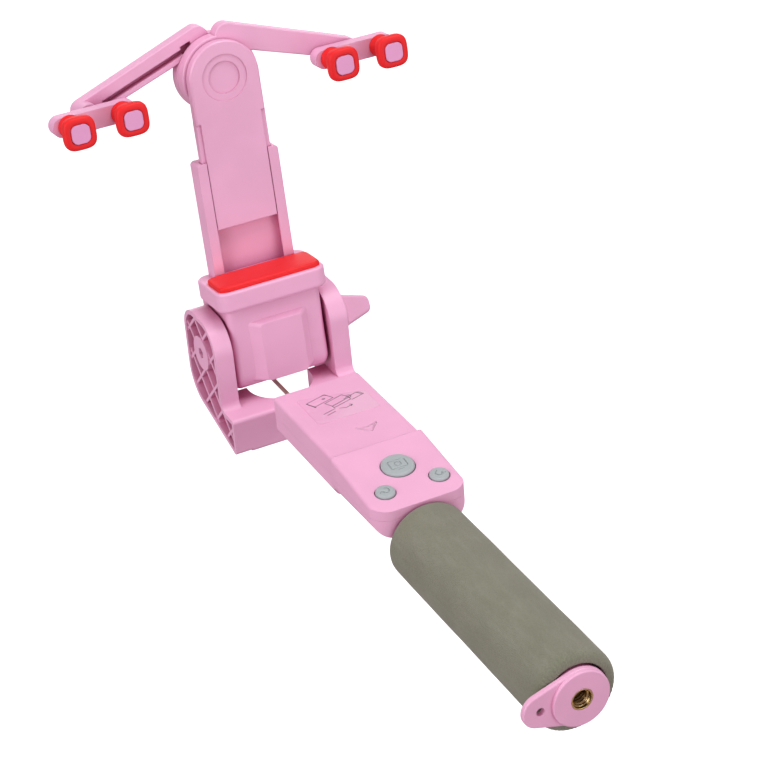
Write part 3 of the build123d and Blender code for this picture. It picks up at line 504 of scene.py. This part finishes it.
def clear_film():
    """Glossy film over pink: a trace of trapped air, a painted reflection that pales it towards one lower corner,
    and a scuffed skin.
    """
    finish = Finish("clear_film", IOR=1.52, Coat_Weight=0.6, Coat_Roughness=0.06)
    place = finish.place()
    air = finish.band(finish.noise(place, 0.30, detail=4), 0.50, 0.72)
    scuff = finish.noise(finish.place(stretch=(0.2, 1, 1.5), turn=(0, 0.5, 0)), 3.0, detail=3)
    middle = (LABEL_LOW + LABEL_HIGH) / 2
    # Painted reflection: the film turns paler past a slanted line towards one lower corner.
    painted_reflection_slant = finish.along(place, 0) - finish.along(place, 2) - (middle[0] - middle[2])
    body = finish.mix(air * 0.6, (0.885, 0.46, 0.685, 1), (0.92, 0.56, 0.75, 1))
    finish.paint("Base Color", finish.mix(finish.band(painted_reflection_slant, -2.0, 9.0) * 0.6, body, (0.93, 0.60, 0.77, 1)))
    finish.paint("Roughness", 0.10 + 0.16 * scuff)
    finish.relief(air, 0.02)
    return finish.material


def lead_sheath():
    """Brown heat-shrink sheath: fine rings of its shrinking, dull where it has been rubbed."""
    finish = Finish("lead_sheath", IOR=1.5)
    rings = finish.noise(finish.place(stretch=(0.2, 0.2, 2)), 2.5, detail=3)
    rub = finish.noise(finish.place(), 0.8, detail=3)
    finish.paint("Base Color", finish.mix(rub, (0.34, 0.22, 0.17, 1), (0.56, 0.42, 0.34, 1)))
    finish.paint("Roughness", 0.38 + 0.2 * rub)
    finish.relief(rings, 0.05)
    return finish.material


black_plastic = plain_moulding("black_moulding", (0.028, 0.028, 0.030), (0.16, 0.16, 0.17), 0.42)
white_nylon = plain_moulding("white_nylon", (0.78, 0.78, 0.74), (0.92, 0.92, 0.90), 0.34)
ink = plain_moulding("printed_ink", (0.20, 0.15, 0.19), (0.34, 0.27, 0.32), 0.50, 0.004)
foil, board, film, sheath = foil_pouch(), lacquered_board(), clear_film(), lead_sheath()
print("small finishes:", black_plastic.name, white_nylon.name, ink.name, foil.name, board.name, film.name)

# %% [markdown]
# ## Dress the frame
# Every hard part keeps its CAD shape and only changes its surface. A table from finish to nodes is the
# shortest way to say which part is made of what.

# %% Give each node its finish
finish_of = {
    pink: ["end_cap", "box_front_shell", "box_rear_shell", "yoke_fork", "tilt_knob", "clamp_tray"],
    pink_satin: ["pod_front_shell", "pod_rear_shell", "clamp_slider", "hub_pin", "hub_back_cap"],
    pink_matte: ["turntable_disc", "spine_rail", "left_arm", "right_arm", "left_hook_bar", "right_hook_bar"],
    pink_core: ["left_hook_cores", "right_hook_cores"],
    red_rubber: ["tray_pad", "left_hook_sleeves", "right_hook_sleeves"],
    key_rubber: ["shutter_button", "rotate_left_button", "rotate_right_button"],
    foam: ["foam_grip"],
    chrome: ["rod_tube_outer", "rod_tube_second", "rod_tube_third", "rod_tube_tip"],
    brass: ["tripod_insert", "gearbox"],
    zinc: [
        "box_screws", "tilt_pivot_bolt", "tilt_pivot_nut", "tilt_knob_screw", "pod_screws", "gear_motor",
        "knob_nut", "output_shaft", "rail_screws", "hub_screw", "left_bar_pin", "right_bar_pin",
        "charge_socket",
    ],
    black_plastic: ["handle_core", "tact_switches", "lead_grommet"],
    white_nylon: ["rod_bush", "friction_washers", "thrust_washer"],
    foil: ["battery"],
    board: ["circuit_board"],
    film: ["instruction_label"],
    sheath: ["motor_lead"],
}
for material, names in finish_of.items():
    for name in names:
        frame["nodes"][name].data.materials.clear()
        frame["nodes"][name].data.materials.append(material)
dressed = {name for names in finish_of.values() for name in names}
print("nodes still bare:", sorted(set(frame["nodes"]) - dressed))

# %% [markdown]
# ## Surfaces from numpy
# The new pieces are grids of points: one row for each station along a profile or a path, one column for
# each direction round it. A closed grid is a tube or a ring, and an open one gets a fan of triangles at
# each end. The sign of the enclosed volume says whether the faces look outwards.


# %% Grids, fans and meshes
def grid_faces(rows, columns, ring):
    """Four corners of each cell. Columns always wrap round, and rows wrap where the grid is a ring."""
    i, j = np.meshgrid(np.arange(rows if ring else rows - 1), np.arange(columns), indexing="ij")
    i_next, j_next = (i + 1) % rows, (j + 1) % columns
    corners = [i * columns + j, i_next * columns + j, i_next * columns + j_next, i * columns + j_next]
    return np.stack(corners, -1).reshape(-1, 4)


def volume_of(points, quads, triangles):
    """A sixth of the summed triple products of all triangles, each quad cut in two."""
    cut = np.concatenate([quads[:, [0, 1, 2]], quads[:, [0, 2, 3]], triangles.reshape(-1, 3)])
    a, b, c = points[cut[:, 0]], points[cut[:, 1]], points[cut[:, 2]]
    return np.einsum("ij,ij->i", a, np.cross(b, c)).sum() / 6


def closed_shape(grid, ring=False):
    """(points, quads, triangles) of a grid of shape (rows, columns, 3), closed and facing outwards."""
    rows, columns = grid.shape[:2]
    points = grid.reshape(-1, 3)
    quads = grid_faces(rows, columns, ring)
    triangles = np.zeros((0, 3), int)
    if not ring:
        first, last = rows * columns, rows * columns + 1
        around = np.arange(columns)
        after = (around + 1) % columns
        far = (rows - 1) * columns
        low_fan = np.stack([np.full(columns, first), around, after], -1)
        high_fan = np.stack([np.full(columns, last), far + after, far + around], -1)
        triangles = np.concatenate([low_fan, high_fan])
        points = np.concatenate([points, grid[0].mean(0)[None], grid[-1].mean(0)[None]])
    if volume_of(points - points.mean(0), quads, triangles) < 0:
        quads, triangles = quads[:, ::-1], triangles[:, ::-1]
    return points, quads, triangles


def make_piece(name, shapes, material, body, stands_for=(), sharp=50):
    """One mesh of several closed shapes, in millimetres, that rides on a body of the frame."""
    points, faces, start = [], [], 0
    for shape_points, quads, triangles in shapes:
        points.append(shape_points * MM)
        faces += (quads + start).tolist() + (triangles + start).tolist()
        start += len(shape_points)
    mesh = bpy.data.meshes.new(name)
    mesh.from_pydata(np.concatenate(points).tolist(), [], faces)
    mesh.shade_smooth()
    mesh.set_sharp_from_angle(angle=math.radians(sharp))
    mesh.materials.append(material)
    piece = bpy.data.objects.new(name, mesh)
    bpy.context.scene.collection.objects.link(piece)
    if isinstance(body, str):
        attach(piece, body)
    if stands_for:
        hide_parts(*stands_for)
    print(name, "has", len(mesh.vertices), "points and", len(mesh.polygons), "faces")
    return piece


# %% [markdown]
# Almost every profile here is a few straight runs with rounded corners. A corner p with neighbours in
# directions a and b is rounded by p + t * ((1 - s)^2 * a + s^2 * b), which leaves one run at distance t
# and joins the next at the same distance.

# %% Rounded profiles, even steps and sweeps
ARC_STEPS = 7


def rounded_path(corners, cuts, ring=False):
    """Straight runs whose corners are rounded from the given distance before each to the same after it."""
    corners = np.asarray(corners, float)
    s = np.linspace(0, 1, ARC_STEPS)[:, None]
    stations = []
    for index, (corner, cut) in enumerate(zip(corners, cuts)):
        inside = ring or 0 < index < len(corners) - 1
        if cut == 0 or not inside:
            stations.append(corner[None])
            continue
        before = corners[index - 1] - corner
        after = corners[(index + 1) % len(corners)] - corner
        before = before / np.linalg.norm(before)
        after = after / np.linalg.norm(after)
        stations.append(corner + cut * ((1 - s) ** 2 * before + s**2 * after))
    return np.concatenate(stations)


def even_steps(path, step, ring=False):
    """The path's points, with more put between them so that none is further than step from the next."""
    nexts = np.roll(path, -1, axis=0) if ring else path[1:]
    starts = path if ring else path[:-1]
    gaps = np.linalg.norm(nexts - starts, axis=1)
    counts = np.maximum(1, np.ceil(gaps / step).astype(int))
    share = np.concatenate([np.arange(n) / n for n in counts])
    which = np.repeat(np.arange(len(starts)), counts)
    made = starts[which] + share[:, None] * (nexts[which] - starts[which])
    return made if ring else np.concatenate([made, path[-1:]])


def turned(profile, columns):
    """Surface of revolution: (r, z) of the profile becomes (r cos a, r sin a, z)."""
    angle = np.linspace(0, 2 * np.pi, columns, endpoint=False)
    radius, height = profile[:, :1], profile[:, 1:2]
    flat = np.broadcast_to(height, (len(profile), columns))
    return np.stack([radius * np.cos(angle), radius * np.sin(angle), flat], -1), angle


def swept(path, section, across):
    """Section (u, v) carried along a flat path: u runs in the path's plane and v along across, its normal."""
    along = np.gradient(path, axis=0)
    side = np.cross(across, along)
    side = side / np.linalg.norm(side, axis=1)[:, None]
    return path[:, None] + section[None, :, :1] * side[:, None] + section[None, :, 1:] * np.array(across)


print("a rounded right angle has", len(rounded_path([(0, 0), (1, 0), (1, 1)], (0, 0.3, 0))), "points")

# %% [markdown]
# ## The foam sleeve
# The sleeve is pushed on a tube that is a little too big for it, and drawn in over its end by the cap,
# so the lip round the cap gathers in small radial pleats. A turned profile with a ripple round the lip
# gives that. Ripple and profile are one formula, so no sculpting is needed.

# %% Make the foam sleeve
PLEATS = 58
PLEAT_DEPTH = 0.20
LIP_REACH = 2.2


def foam_sleeve():
    """Closed profile turned about the handle, then moved inwards by depth * lip(z) * (0.5 + 0.5 cos(n a))."""
    low, high = box_mm("foam_grip")
    outer, mouth, bore = high[0], 11.05, 11.9
    corners = [
        (mouth, low[2] + 0.4), (mouth + 0.4, low[2]), (outer, low[2]), (outer, high[2]), (bore, high[2]),
        (bore, low[2] + 4.0), (mouth, low[2] + 3.4),
    ]
    profile = even_steps(rounded_path(corners, (0.2, 0.2, 3.9, 1.8, 0.5, 0.2, 0.2), ring=True), 1.4, ring=True)
    grid, angle = turned(profile, PLEATS * 6)
    outside = (profile[:, 0] > mouth + 0.1) & (profile[:, 0] > bore - 0.5)
    lip = np.exp(-(((profile[:, 1] - low[2]) / LIP_REACH) ** 2)) * outside
    wobble = 0.5 * np.sin(3 * angle + 1.0) + 0.35 * np.sin(7 * angle)
    pleat = 0.5 + 0.5 * np.cos(PLEATS * angle + 1.5 * wobble)
    height = profile[:, 1:2]
    swell = 0.03 * np.sin(0.11 * height + 2 * angle) + 0.02 * np.sin(0.23 * height - 3 * angle)
    inward = PLEAT_DEPTH * lip[:, None] * pleat**2 * (0.75 + 0.25 * wobble)
    settle = outside[:, None] * (0.05 - swell)
    shrink = 1 - (inward + settle) / profile[:, :1]
    grid[..., :2] *= shrink[..., None]
    grid[..., 2] += 0.6 * inward
    return closed_shape(grid, ring=True)


grip = make_piece("foam_sleeve", [foam_sleeve()], foam, "handle", ["foam_grip"])

# %% [markdown]
# ## The brass thread
# A camera screw has 20 threads to the inch. The bore's wall is a turned surface whose radius also
# depends on the angle: r = minor + depth * wave(z / pitch - a / 2 pi), which is a helix with no helix
# ever drawn. The wave is a flattened triangle, as a tap cuts it.

# %% Make the threaded insert
PITCH = 25.4 / 20
THREAD_DEPTH = 0.50
CHAMFER = 0.90


def threaded_insert():
    """Bore rows follow the thread's wave, faded out in the mouth's chamfer, and the outside is turned plain."""
    low, high = box_mm("tripod_insert")
    outer = high[0]
    minor = frame["record"]["mounts"][0]["dims"]["r_mm"]
    bore_z = np.linspace(high[2], low[2] + CHAMFER, int((high[2] - low[2]) / PITCH * 14))
    bore = np.column_stack([np.full_like(bore_z, minor), bore_z])
    mouth = [(minor + CHAMFER, low[2] + 0.05), (minor + CHAMFER + 0.12, low[2])]
    outside = [(outer - 0.1, low[2]), (outer, low[2] + 0.1), (outer, high[2] - 0.2), (outer - 0.2, high[2])]
    profile = np.concatenate([bore, mouth, outside])
    grid, angle = turned(profile, 72)
    turn = bore_z[:, None] / PITCH - angle / (2 * np.pi)
    wave = np.clip(2.6 * np.abs((turn % 1) - 0.5) - 0.15, 0, 1)
    radius = minor + THREAD_DEPTH * wave
    mouth_fade = np.clip((low[2] + CHAMFER + 0.6 - bore_z) / 0.6, 0, 1)[:, None]
    radius = radius * (1 - mouth_fade) + np.maximum(radius, minor + CHAMFER * 0.8) * mouth_fade
    count = len(bore_z)
    grid[:count, :, 0] = radius * np.cos(angle)
    grid[:count, :, 1] = radius * np.sin(angle)
    return closed_shape(grid, ring=True)


make_piece("camera_thread", [threaded_insert()], brass, "handle", ["tripod_insert"], sharp=35)

# %% [markdown]
# ## The keys
# Three rubber keys stand through the keypad: one shutter key with a camera on it, and two that turn the
# head left and right. Each is a turned dome with a flange and a stem. The icons are pressed into the
# rubber, which is a height taken off the dome wherever the distance to the drawing is small.

# %% Distances that draw the icons
ICON_DEPTH = 0.36
ICON_LINE = 0.27


def to_circle(x, y, radius):
    """Distance to a circle's line."""
    return np.abs(np.hypot(x, y) - radius)


def to_run(x, y, start, end):
    """Distance to a straight run between two points."""
    (ax, ay), (bx, by) = start, end
    dx, dy = bx - ax, by - ay
    share = np.clip(((x - ax) * dx + (y - ay) * dy) / (dx * dx + dy * dy), 0, 1)
    return np.hypot(x - ax - share * dx, y - ay - share * dy)


def to_frame(x, y, half_x, half_y, corner):
    """Distance to the line of a rounded rectangle."""
    qx, qy = np.abs(x) - half_x + corner, np.abs(y) - half_y + corner
    outside = np.hypot(np.maximum(qx, 0), np.maximum(qy, 0)) + np.minimum(np.maximum(qx, qy), 0)
    return np.abs(outside - corner)


def camera_icon(x, y, size):
    """A body, a lens and a small hump for the flash."""
    body = to_frame(x, y, 0.52 * size, 0.36 * size, 0.10 * size)
    hump = to_run(x, y, (-0.16 * size, 0.50 * size), (0.16 * size, 0.50 * size))
    return np.minimum(np.minimum(body, to_circle(x, y, 0.19 * size)), hump)


def turn_icon(x, y, size, way):
    """Three quarters of a circle with an arrowhead, turned one way or the other."""
    x = x * way
    arc = np.where((x > 0) & (y < 0), 9.0, to_circle(x, y, 0.38 * size))
    tip = (0.38 * size, -0.06 * size)
    barb = to_run(x, y, tip, (0.60 * size, 0.18 * size))
    return np.minimum(arc, np.minimum(barb, to_run(x, y, tip, (0.16 * size, 0.18 * size))))


def turn_left_icon(x, y, size):
    return turn_icon(x, y, size, -1)


def turn_right_icon(x, y, size):
    return turn_icon(x, y, size, 1)


print("a point on a circle is", to_circle(3.0, 4.0, 5.0), "from it")

# %% Make the keys
KEY_PROUD = 1.3
KEY_FLANGE = 0.7
FLANGE_DEPTH = 2.25


def key_seat(node):
    """Radius and seat of a key: its flange gives the height, its dome's front gives the depth."""
    low, high = box_mm(node)
    radius = (high[0] - low[0]) / 2 - KEY_FLANGE
    lean = abs(KEY_OUT[2])
    depth = low[1] + KEY_PROUD * abs(KEY_OUT[1]) + lean * (radius - 0.8)
    height = (low[2] + high[2]) / 2 + FLANGE_DEPTH * KEY_OUT[2]
    stem = (high[1] - depth) / abs(KEY_OUT[1])
    return radius, stem - 0.1, Seat(((low[0] + high[0]) / 2, depth, height), KEY_OUT)


def rubber_key(node, icon):
    """Dome, flange and stem as one turned profile, with the icon's lines pressed into the dome."""
    radius, stem, seat = key_seat(node)
    top = np.linspace(0.02, radius - 0.8, 46)
    dome = np.column_stack([top, KEY_PROUD - 0.30 * (top / radius) ** 2.0])
    rim_z = KEY_PROUD - 0.30
    rim = rounded_path([(radius - 0.8, rim_z), (radius, rim_z - 0.1), (radius, 0.0)], (0, 0.7, 0))
    under = [
        (radius, -FLANGE_DEPTH + 0.35), (radius + KEY_FLANGE, -FLANGE_DEPTH + 0.35),
        (radius + KEY_FLANGE, -FLANGE_DEPTH - 0.35), (1.2, -FLANGE_DEPTH - 0.35), (1.2, -stem), (0.02, -stem),
    ]
    grid, _ = turned(np.concatenate([dome, rim, under]), 220)
    x, y = grid[: len(top), :, 0], -grid[: len(top), :, 1]
    press = np.clip((ICON_LINE - icon(x, y, radius)) / 0.14, 0, 1)
    press = press * press * (3 - 2 * press)
    grid[: len(top), :, 2] -= ICON_DEPTH * press
    return closed_shape(seat.place(grid))


keys = {
    "shutter": ("shutter_button", "shutter_key", camera_icon),
    "rotate_left": ("rotate_left_button", "left_key", turn_left_icon),
    "rotate_right": ("rotate_right_button", "right_key", turn_right_icon),
}
for word, (node, body, icon) in keys.items():
    cap = rubber_key(node, icon)
    make_piece(word + "_key_cap", [cap], key_rubber, body, [node], sharp=60)

# %% [markdown]
# ## The red pad
# The phone's edge stands on a red pad with softly rounded rims and a crowned top. Its outline is a
# superellipse, |x / a|^n + |y / b|^n = 1, which is a circle at n = 2 and nearly a rectangle at n = 8. Rows
# of the grid shrink that outline to the middle while the height follows the crown.


# %% Make the pad
def superellipse(count, power):
    """Points (u, v) on |u|^n + |v|^n = 1: sign and 2/n power of the cosine and sine."""
    angle = np.linspace(0, 2 * np.pi, count, endpoint=False)
    c, s = np.cos(angle), np.sin(angle)
    power = np.asarray(power, float)
    return np.sign(c) * np.abs(c) ** (2 / power), np.sign(s) * np.abs(s) ** (2 / power)


def crowned_pad():
    """Outline times a row's share, at a height of rim + crown * (1 - share^2), with a pressed dimple."""
    low, high = HEAD.box("tray_pad")
    low_z, top_z = low[2] + 0.05, high[2]
    half_x, half_y = (high[0] - low[0]) / 2, (high[1] - low[1]) / 2
    rim = rounded_path([(0.0, -1.2), (0.0, 0.0), (-1.6, 0.0)], (0, 0.9, 0))
    inset = np.concatenate([[-half_y * 0.5, 0.0], rim[:, 0], np.linspace(-2.0, -half_y + 0.3, 30)])
    flat = np.concatenate([[low_z, low_z], top_z - 0.12 + rim[:, 1], np.zeros(30)])
    u, v = superellipse(200, 9.0)
    x = u * (half_x + inset[:, None])
    y = v * (half_y + inset[:, None])
    share = np.clip(-inset[-30:] / half_y, 0, 1)
    flat[-30:] = top_z - 0.12 + 0.12 * (1 - (1 - share) ** 2)
    z = np.broadcast_to(flat[:, None], x.shape).copy()
    z[-31:] -= 0.5 * np.exp(-(((x[-31:] + 5.0) ** 2 + (y[-31:] + 4.5) ** 2) / 0.7**2) ** 2)
    return closed_shape(HEAD.place(np.stack([x, y + (low[1] + high[1]) / 2, z], -1)))


make_piece("phone_pad", [crowned_pad()], red_rubber, "turntable", ["tray_pad"], sharp=50)

# %% [markdown]
# ## The hook sleeves
# Each hook is a stud with a red sleeve pushed over it: a flared foot, a thin round neck and a soft
# square head with a recess where the stud's pink button shows. Both the half width and the power of the
# superellipse change along the stud, so the neck is round and the head is square with no seam between.

# %% Make the hook sleeves
HOOK_HALF = 6.2
ROUND, SQUARE = 2.0, 3.4


def hook_profile(front, foot):
    """Stations (half width, power, y): up the outside from the foot, over the head, back down the bore."""
    head_half, neck, button, stud = HOOK_HALF, 3.35, 3.55, 1.9
    outside = [
        (4.4, ROUND, foot), (4.35, ROUND, foot - 0.5), (3.9, ROUND, foot - 1.5), (neck + 0.1, ROUND, foot - 2.7),
        (neck, ROUND, foot - 3.8), (neck, ROUND, front + 6.0), (neck + 0.35, 2.1, front + 5.5),
        (neck + 1.2, 2.5, front + 4.9), (head_half - 0.9, 3.0, front + 4.3), (head_half - 0.25, 3.3, front + 3.7),
        (head_half, SQUARE, front + 2.9), (head_half, SQUARE, front + 1.3),
        (head_half - 0.12, SQUARE, front + 0.75), (head_half - 0.42, SQUARE, front + 0.35),
        (head_half - 0.9, SQUARE, front + 0.10), (head_half - 1.5, SQUARE, front),
        (button + 0.35, SQUARE, front + 0.08), (button + 0.08, SQUARE, front + 0.30),
    ]
    inside = [(button, SQUARE, front + 1.35), (stud, ROUND, front + 1.45), (stud, ROUND, foot - 0.02)]
    return np.array(outside + inside)


def hook_sleeve(x, z, front, foot):
    """Superellipse of each station's half width and power, in the head's frame round the stud's axis."""
    stations = hook_profile(front, foot)
    smooth = rounded_path(stations, np.full(len(stations), 0.16), ring=True)
    half, power, y = smooth[:, :1], smooth[:, 1:2], smooth[:, 2:3]
    u, v = superellipse(96, power)
    grid = np.stack([x + half * u, np.broadcast_to(y, u.shape), z + half * v], -1)
    return closed_shape(HEAD.place(grid), ring=True)


for word in ("left", "right"):
    node = word + "_hook_sleeves"
    low, high = HEAD.box(node)
    places = [low[0] + HOOK_HALF, high[0] - HOOK_HALF]
    sleeves = [hook_sleeve(x, (low[2] + high[2]) / 2, low[1], high[1] - 0.1) for x in places]
    make_piece(word + "_hook_rubbers", sleeves, red_rubber, "bar_" + word, [node], sharp=60)

# %% [markdown]
# ## The motor's lead
# A thin lead leaves the rod's mouth and turns forward into the pod. It is built where it lies and rides
# on no body. Its section is a figure of eight, two insulated wires in one shrunk sheath.

# %% Make the lead
LEAD_BEND = 3.6
LEAD_END = 0.6


def two_wire_section(radius, count=28):
    """Closed outline r(a) = radius * (0.72 + 0.28 cos^2 a), a soft figure of eight."""
    angle = np.linspace(0, 2 * np.pi, count, endpoint=False)
    r = radius * (0.72 + 0.28 * np.cos(angle) ** 2)
    return np.column_stack([r * np.cos(angle), r * np.sin(angle)])


def lead_line():
    """Up the rod's bore, round one wide bend, and along the head's upright axis into the grommet."""
    low, high = box_mm("motor_lead")
    middle_x = (low[0] + high[0]) / 2
    hole_low, hole_high = HEAD.box("lead_grommet")
    end = HEAD.place([middle_x, (hole_low[1] + hole_high[1]) / 2, hole_high[2] - LEAD_END])
    start = np.array([middle_x, high[1] - 1.0, low[2]])
    rise = (start[1] - end[1]) / -HEAD.up[1]
    corner = np.array([middle_x, start[1], end[2] - rise * HEAD.up[2]])
    return even_steps(rounded_path([start, corner, end], (0, LEAD_BEND, 0)), 0.5)


line = lead_line()
lead_grid = swept(line, two_wire_section(1.0), (1.0, 0.0, 0.0))
lead = make_piece("motor_lead_sheath", [closed_shape(lead_grid)], sheath, None, ["motor_lead"])
tuple(line[len(line) // 2] * MM)
tuple(line[-1] * MM)
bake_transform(lead)

# %% [markdown]
# ## Screws with crosses in their heads
# The shells are held by small self-tapping screws. A head is a turned dome with a cross pressed into it:
# the dome's height minus a depth wherever the point lies in one of two crossed bars. The shank carries
# fine rings, a ripple of its radius along its length.


# %% Make the screws
def cross_screw(centre, out, radius, head, shank_r, length):
    """Turned dome, cross recess of two bars that deepen to the middle, and a shank with a fine thread."""
    seat = Seat(centre, out)
    top = np.linspace(0.01, radius * 0.9, 26)
    dome = np.column_stack([top, -0.22 * (top / radius) ** 2])
    side = [(radius, -0.35 * head), (radius, -0.8 * head), (radius * 0.95, -head), (shank_r, -head)]
    shank_z = np.arange(-head, -length + 0.4, -0.12)
    shank = np.column_stack([shank_r * (0.89 + 0.11 * np.cos(shank_z * 8.0)), shank_z])
    grid, _ = turned(np.concatenate([dome, side, shank, [(0.01, -length)]]), 64)
    x, y = grid[: len(top), :, 0] / radius, grid[: len(top), :, 1] / radius
    arm = np.minimum(np.maximum(np.abs(x) - 0.62, np.abs(y) - 0.13), np.maximum(np.abs(y) - 0.62, np.abs(x) - 0.13))
    recess = np.clip(-arm / 0.07, 0, 1) * (0.75 * head - 0.5 * head * np.hypot(x, y))
    grid[: len(top), :, 2] -= recess
    return closed_shape(seat.place(grid))


def screw_set(name, node, radius, head, shank_r, seat, body):
    """Screws at the corners of the node's own box in a seat's frame, their heads at its back."""
    low, high = seat.box(node)
    columns = sorted({round(low[0] + radius, 2), round(high[0] - radius, 2)})
    rows = sorted({round(low[2] + radius, 2), round(high[2] - radius, 2)})
    length = high[1] - low[1]
    shapes = []
    for x in columns:
        for z in rows:
            shapes.append(cross_screw(seat.place((x, high[1], z)), seat.back, radius, head, shank_r, length))
    make_piece(name, shapes, zinc, body, [node], sharp=40)


screw_set("box_back_screws", "box_screws", 1.6, 1.2, 0.8, HANDLE, "handle")
screw_set("pod_back_screws", "pod_screws", 1.6, 1.3, 0.8, HEAD, "pod")
screw_set("hub_back_screw", "hub_screw", 2.9, 1.4, 1.2, HEAD, "slider")

# %% [markdown]
# ## Printed drawing and raised arrow
# The clear label carries a line drawing of the folded stick, and the shell under it a raised arrow.
# Lines could be painted by a texture, but a printed line is a thin ribbon of ink, so each is swept: a
# flat section for ink and a low half-round for the moulded arrow.

# %% Print the label
INK_HALF_WIDTH = 0.17
INK_HEIGHT = 0.02
LABEL_FACE = LABEL_LOW[1]
LABEL_MIDDLE = (LABEL_LOW + LABEL_HIGH) / 2
ink_section = np.array([(-1, 0), (-0.8, 1), (0.8, 1), (1, 0)]) * (INK_HALF_WIDTH, INK_HEIGHT)


def stroke(section, face, middle, corners, cut=0.25):
    """Ribbon along a line drawn in (x, z) about a middle, lying on a face that looks to -y."""
    corners = np.asarray(corners, float)
    points = np.column_stack([corners[:, 0] + middle[0], np.full(len(corners), face), corners[:, 1] + middle[2]])
    path = rounded_path(points, np.full(len(points), cut))
    return closed_shape(swept(path, section, (0.0, -1.0, 0.0)))


DRAWING_SCALE = 1.15
DRAWING_MIDDLE = LABEL_MIDDLE + (-0.45, 0.0, -0.45)
drawing = {
    "phone": [(-8.5, 5.6), (-1.2, 7.8), (0.6, 4.6), (-6.9, 2.4), (-8.5, 5.6)],
    "phone_edge": [(-8.5, 5.6), (-8.3, 4.9), (-6.8, 1.7), (-6.9, 2.4)],
    "lens": [(-3.0, 5.6), (-2.2, 5.9), (-2.0, 5.4), (-2.8, 5.1), (-3.0, 5.6)],
    "clamp": [(-3.4, 2.6), (3.6, 4.7), (5.0, 2.0), (-2.0, -0.2), (-3.4, 2.6)],
    "spine": [(-2.0, -0.2), (-1.9, -1.4), (4.9, 0.6), (5.0, 2.0)],
    "handle": [(3.0, 1.9), (8.2, 3.6), (9.4, 1.4), (5.1, 0.1)],
    "handle_end": [(8.2, 3.6), (9.0, 3.3), (10.0, 1.5), (9.4, 1.4)],
    "hinge": [(4.4, 3.3), (5.4, 3.4), (6.0, 2.6), (5.4, 1.8), (4.6, 1.9)],
    "fold": [(-0.6, -2.6), (1.6, -3.4), (4.0, -2.6)],
    "fold_head": [(3.2, -3.3), (4.0, -2.6), (3.1, -2.0)],
    "rule": [(-6.6, -3.4), (-1.8, -2.0)],
    "short_rule": [(-5.8, -4.6), (-2.4, -3.6)],
}
scaled = [DRAWING_SCALE * np.array(corners) for corners in drawing.values()]
strokes = [stroke(ink_section, LABEL_FACE, DRAWING_MIDDLE, corners) for corners in scaled]
make_piece("label_drawing", strokes, ink, "handle", sharp=30)

# %% [markdown]
# The arrow is one closed line. It hardly stands out of the wall, so only its edges catch the light.

# %% Raise the arrow on the shell
ARROW_HEIGHT = 0.06
SHELL_FACE = LABEL_HIGH[1]
half_round = np.linspace(0, np.pi, 9)
arrow_section = np.column_stack([0.42 * np.cos(half_round), ARROW_HEIGHT * np.sin(half_round) - 0.02])
ARROW_MIDDLE = np.array([3.0, 0.0, 156.5])
arrow_line = [(-4.2, 1.6), (0.0, -3.2), (4.2, 1.6), (0.0, 0.1), (-4.2, 1.6)]
arrow = stroke(arrow_section, SHELL_FACE, ARROW_MIDDLE, arrow_line, cut=0.6)
make_piece("shell_arrow", [arrow], pink, "handle", sharp=70)

# %% [markdown]
# ## Floor, sizes and finish
# A pale floor far below and a paper dome all round show behind the stick. Neither is let light it, so
# its colours come from the lamps alone.

# %% Put the studio round it
FLOOR_DROP = 0.75
DOME_RADIUS = 4.0


def plain_surface(name, colour, glow):
    """Pale paper: the least noise that keeps it from being dead flat."""
    finish = Finish(name, Roughness=0.9, Emission_Strength=glow)
    tone = finish.noise(finish.place(), 0.002)
    paper = finish.mix(tone, tint(colour, 0.99), tint(colour))
    finish.paint("Base Color", paper)
    finish.paint("Emission Color", paper)
    return finish.material


def stage_dome():
    """Sphere of radius R: (R sin p cos a, R sin p sin a, R cos p)."""
    polar = np.linspace(0.02, np.pi - 0.02, 32)[:, None]
    angle = np.linspace(0, 2 * np.pi, 48, endpoint=False)
    flat = np.broadcast_to(np.cos(polar), (32, 48))
    return DOME_RADIUS * np.stack([np.sin(polar) * np.cos(angle), np.sin(polar) * np.sin(angle), flat], -1)


def stage_mesh(name, grid, material):
    points, quads, triangles = closed_shape(grid)
    mesh = bpy.data.meshes.new(name)
    mesh.from_pydata(points.tolist(), [], quads.tolist() + triangles.tolist())
    mesh.shade_smooth()
    mesh.materials.append(material)
    made = bpy.data.objects.new(name, mesh)
    bpy.context.scene.collection.objects.link(made)
    return made


dome = stage_mesh("paper_dome", stage_dome(), plain_surface("dome_paper", (0.97, 0.97, 0.97), 0.97))
turn = np.linspace(0, 2 * np.pi, 48, endpoint=False)
disc = np.stack([np.cos(turn), np.sin(turn), np.zeros(48)], -1)
floor_grid = np.stack([disc * 1.8 + (0, 0, -FLOOR_DROP), disc * 1.8 + (0, 0, -FLOOR_DROP - 0.01)])
floor = stage_mesh("floor", floor_grid, plain_surface("floor_paper", (0.93, 0.93, 0.93), 0.90))
for paper in (dome, floor):
    paper.visible_diffuse = False
    paper.visible_glossy = False
    paper.visible_shadow = False
print("the floor lies", FLOOR_DROP, "m below the cap")
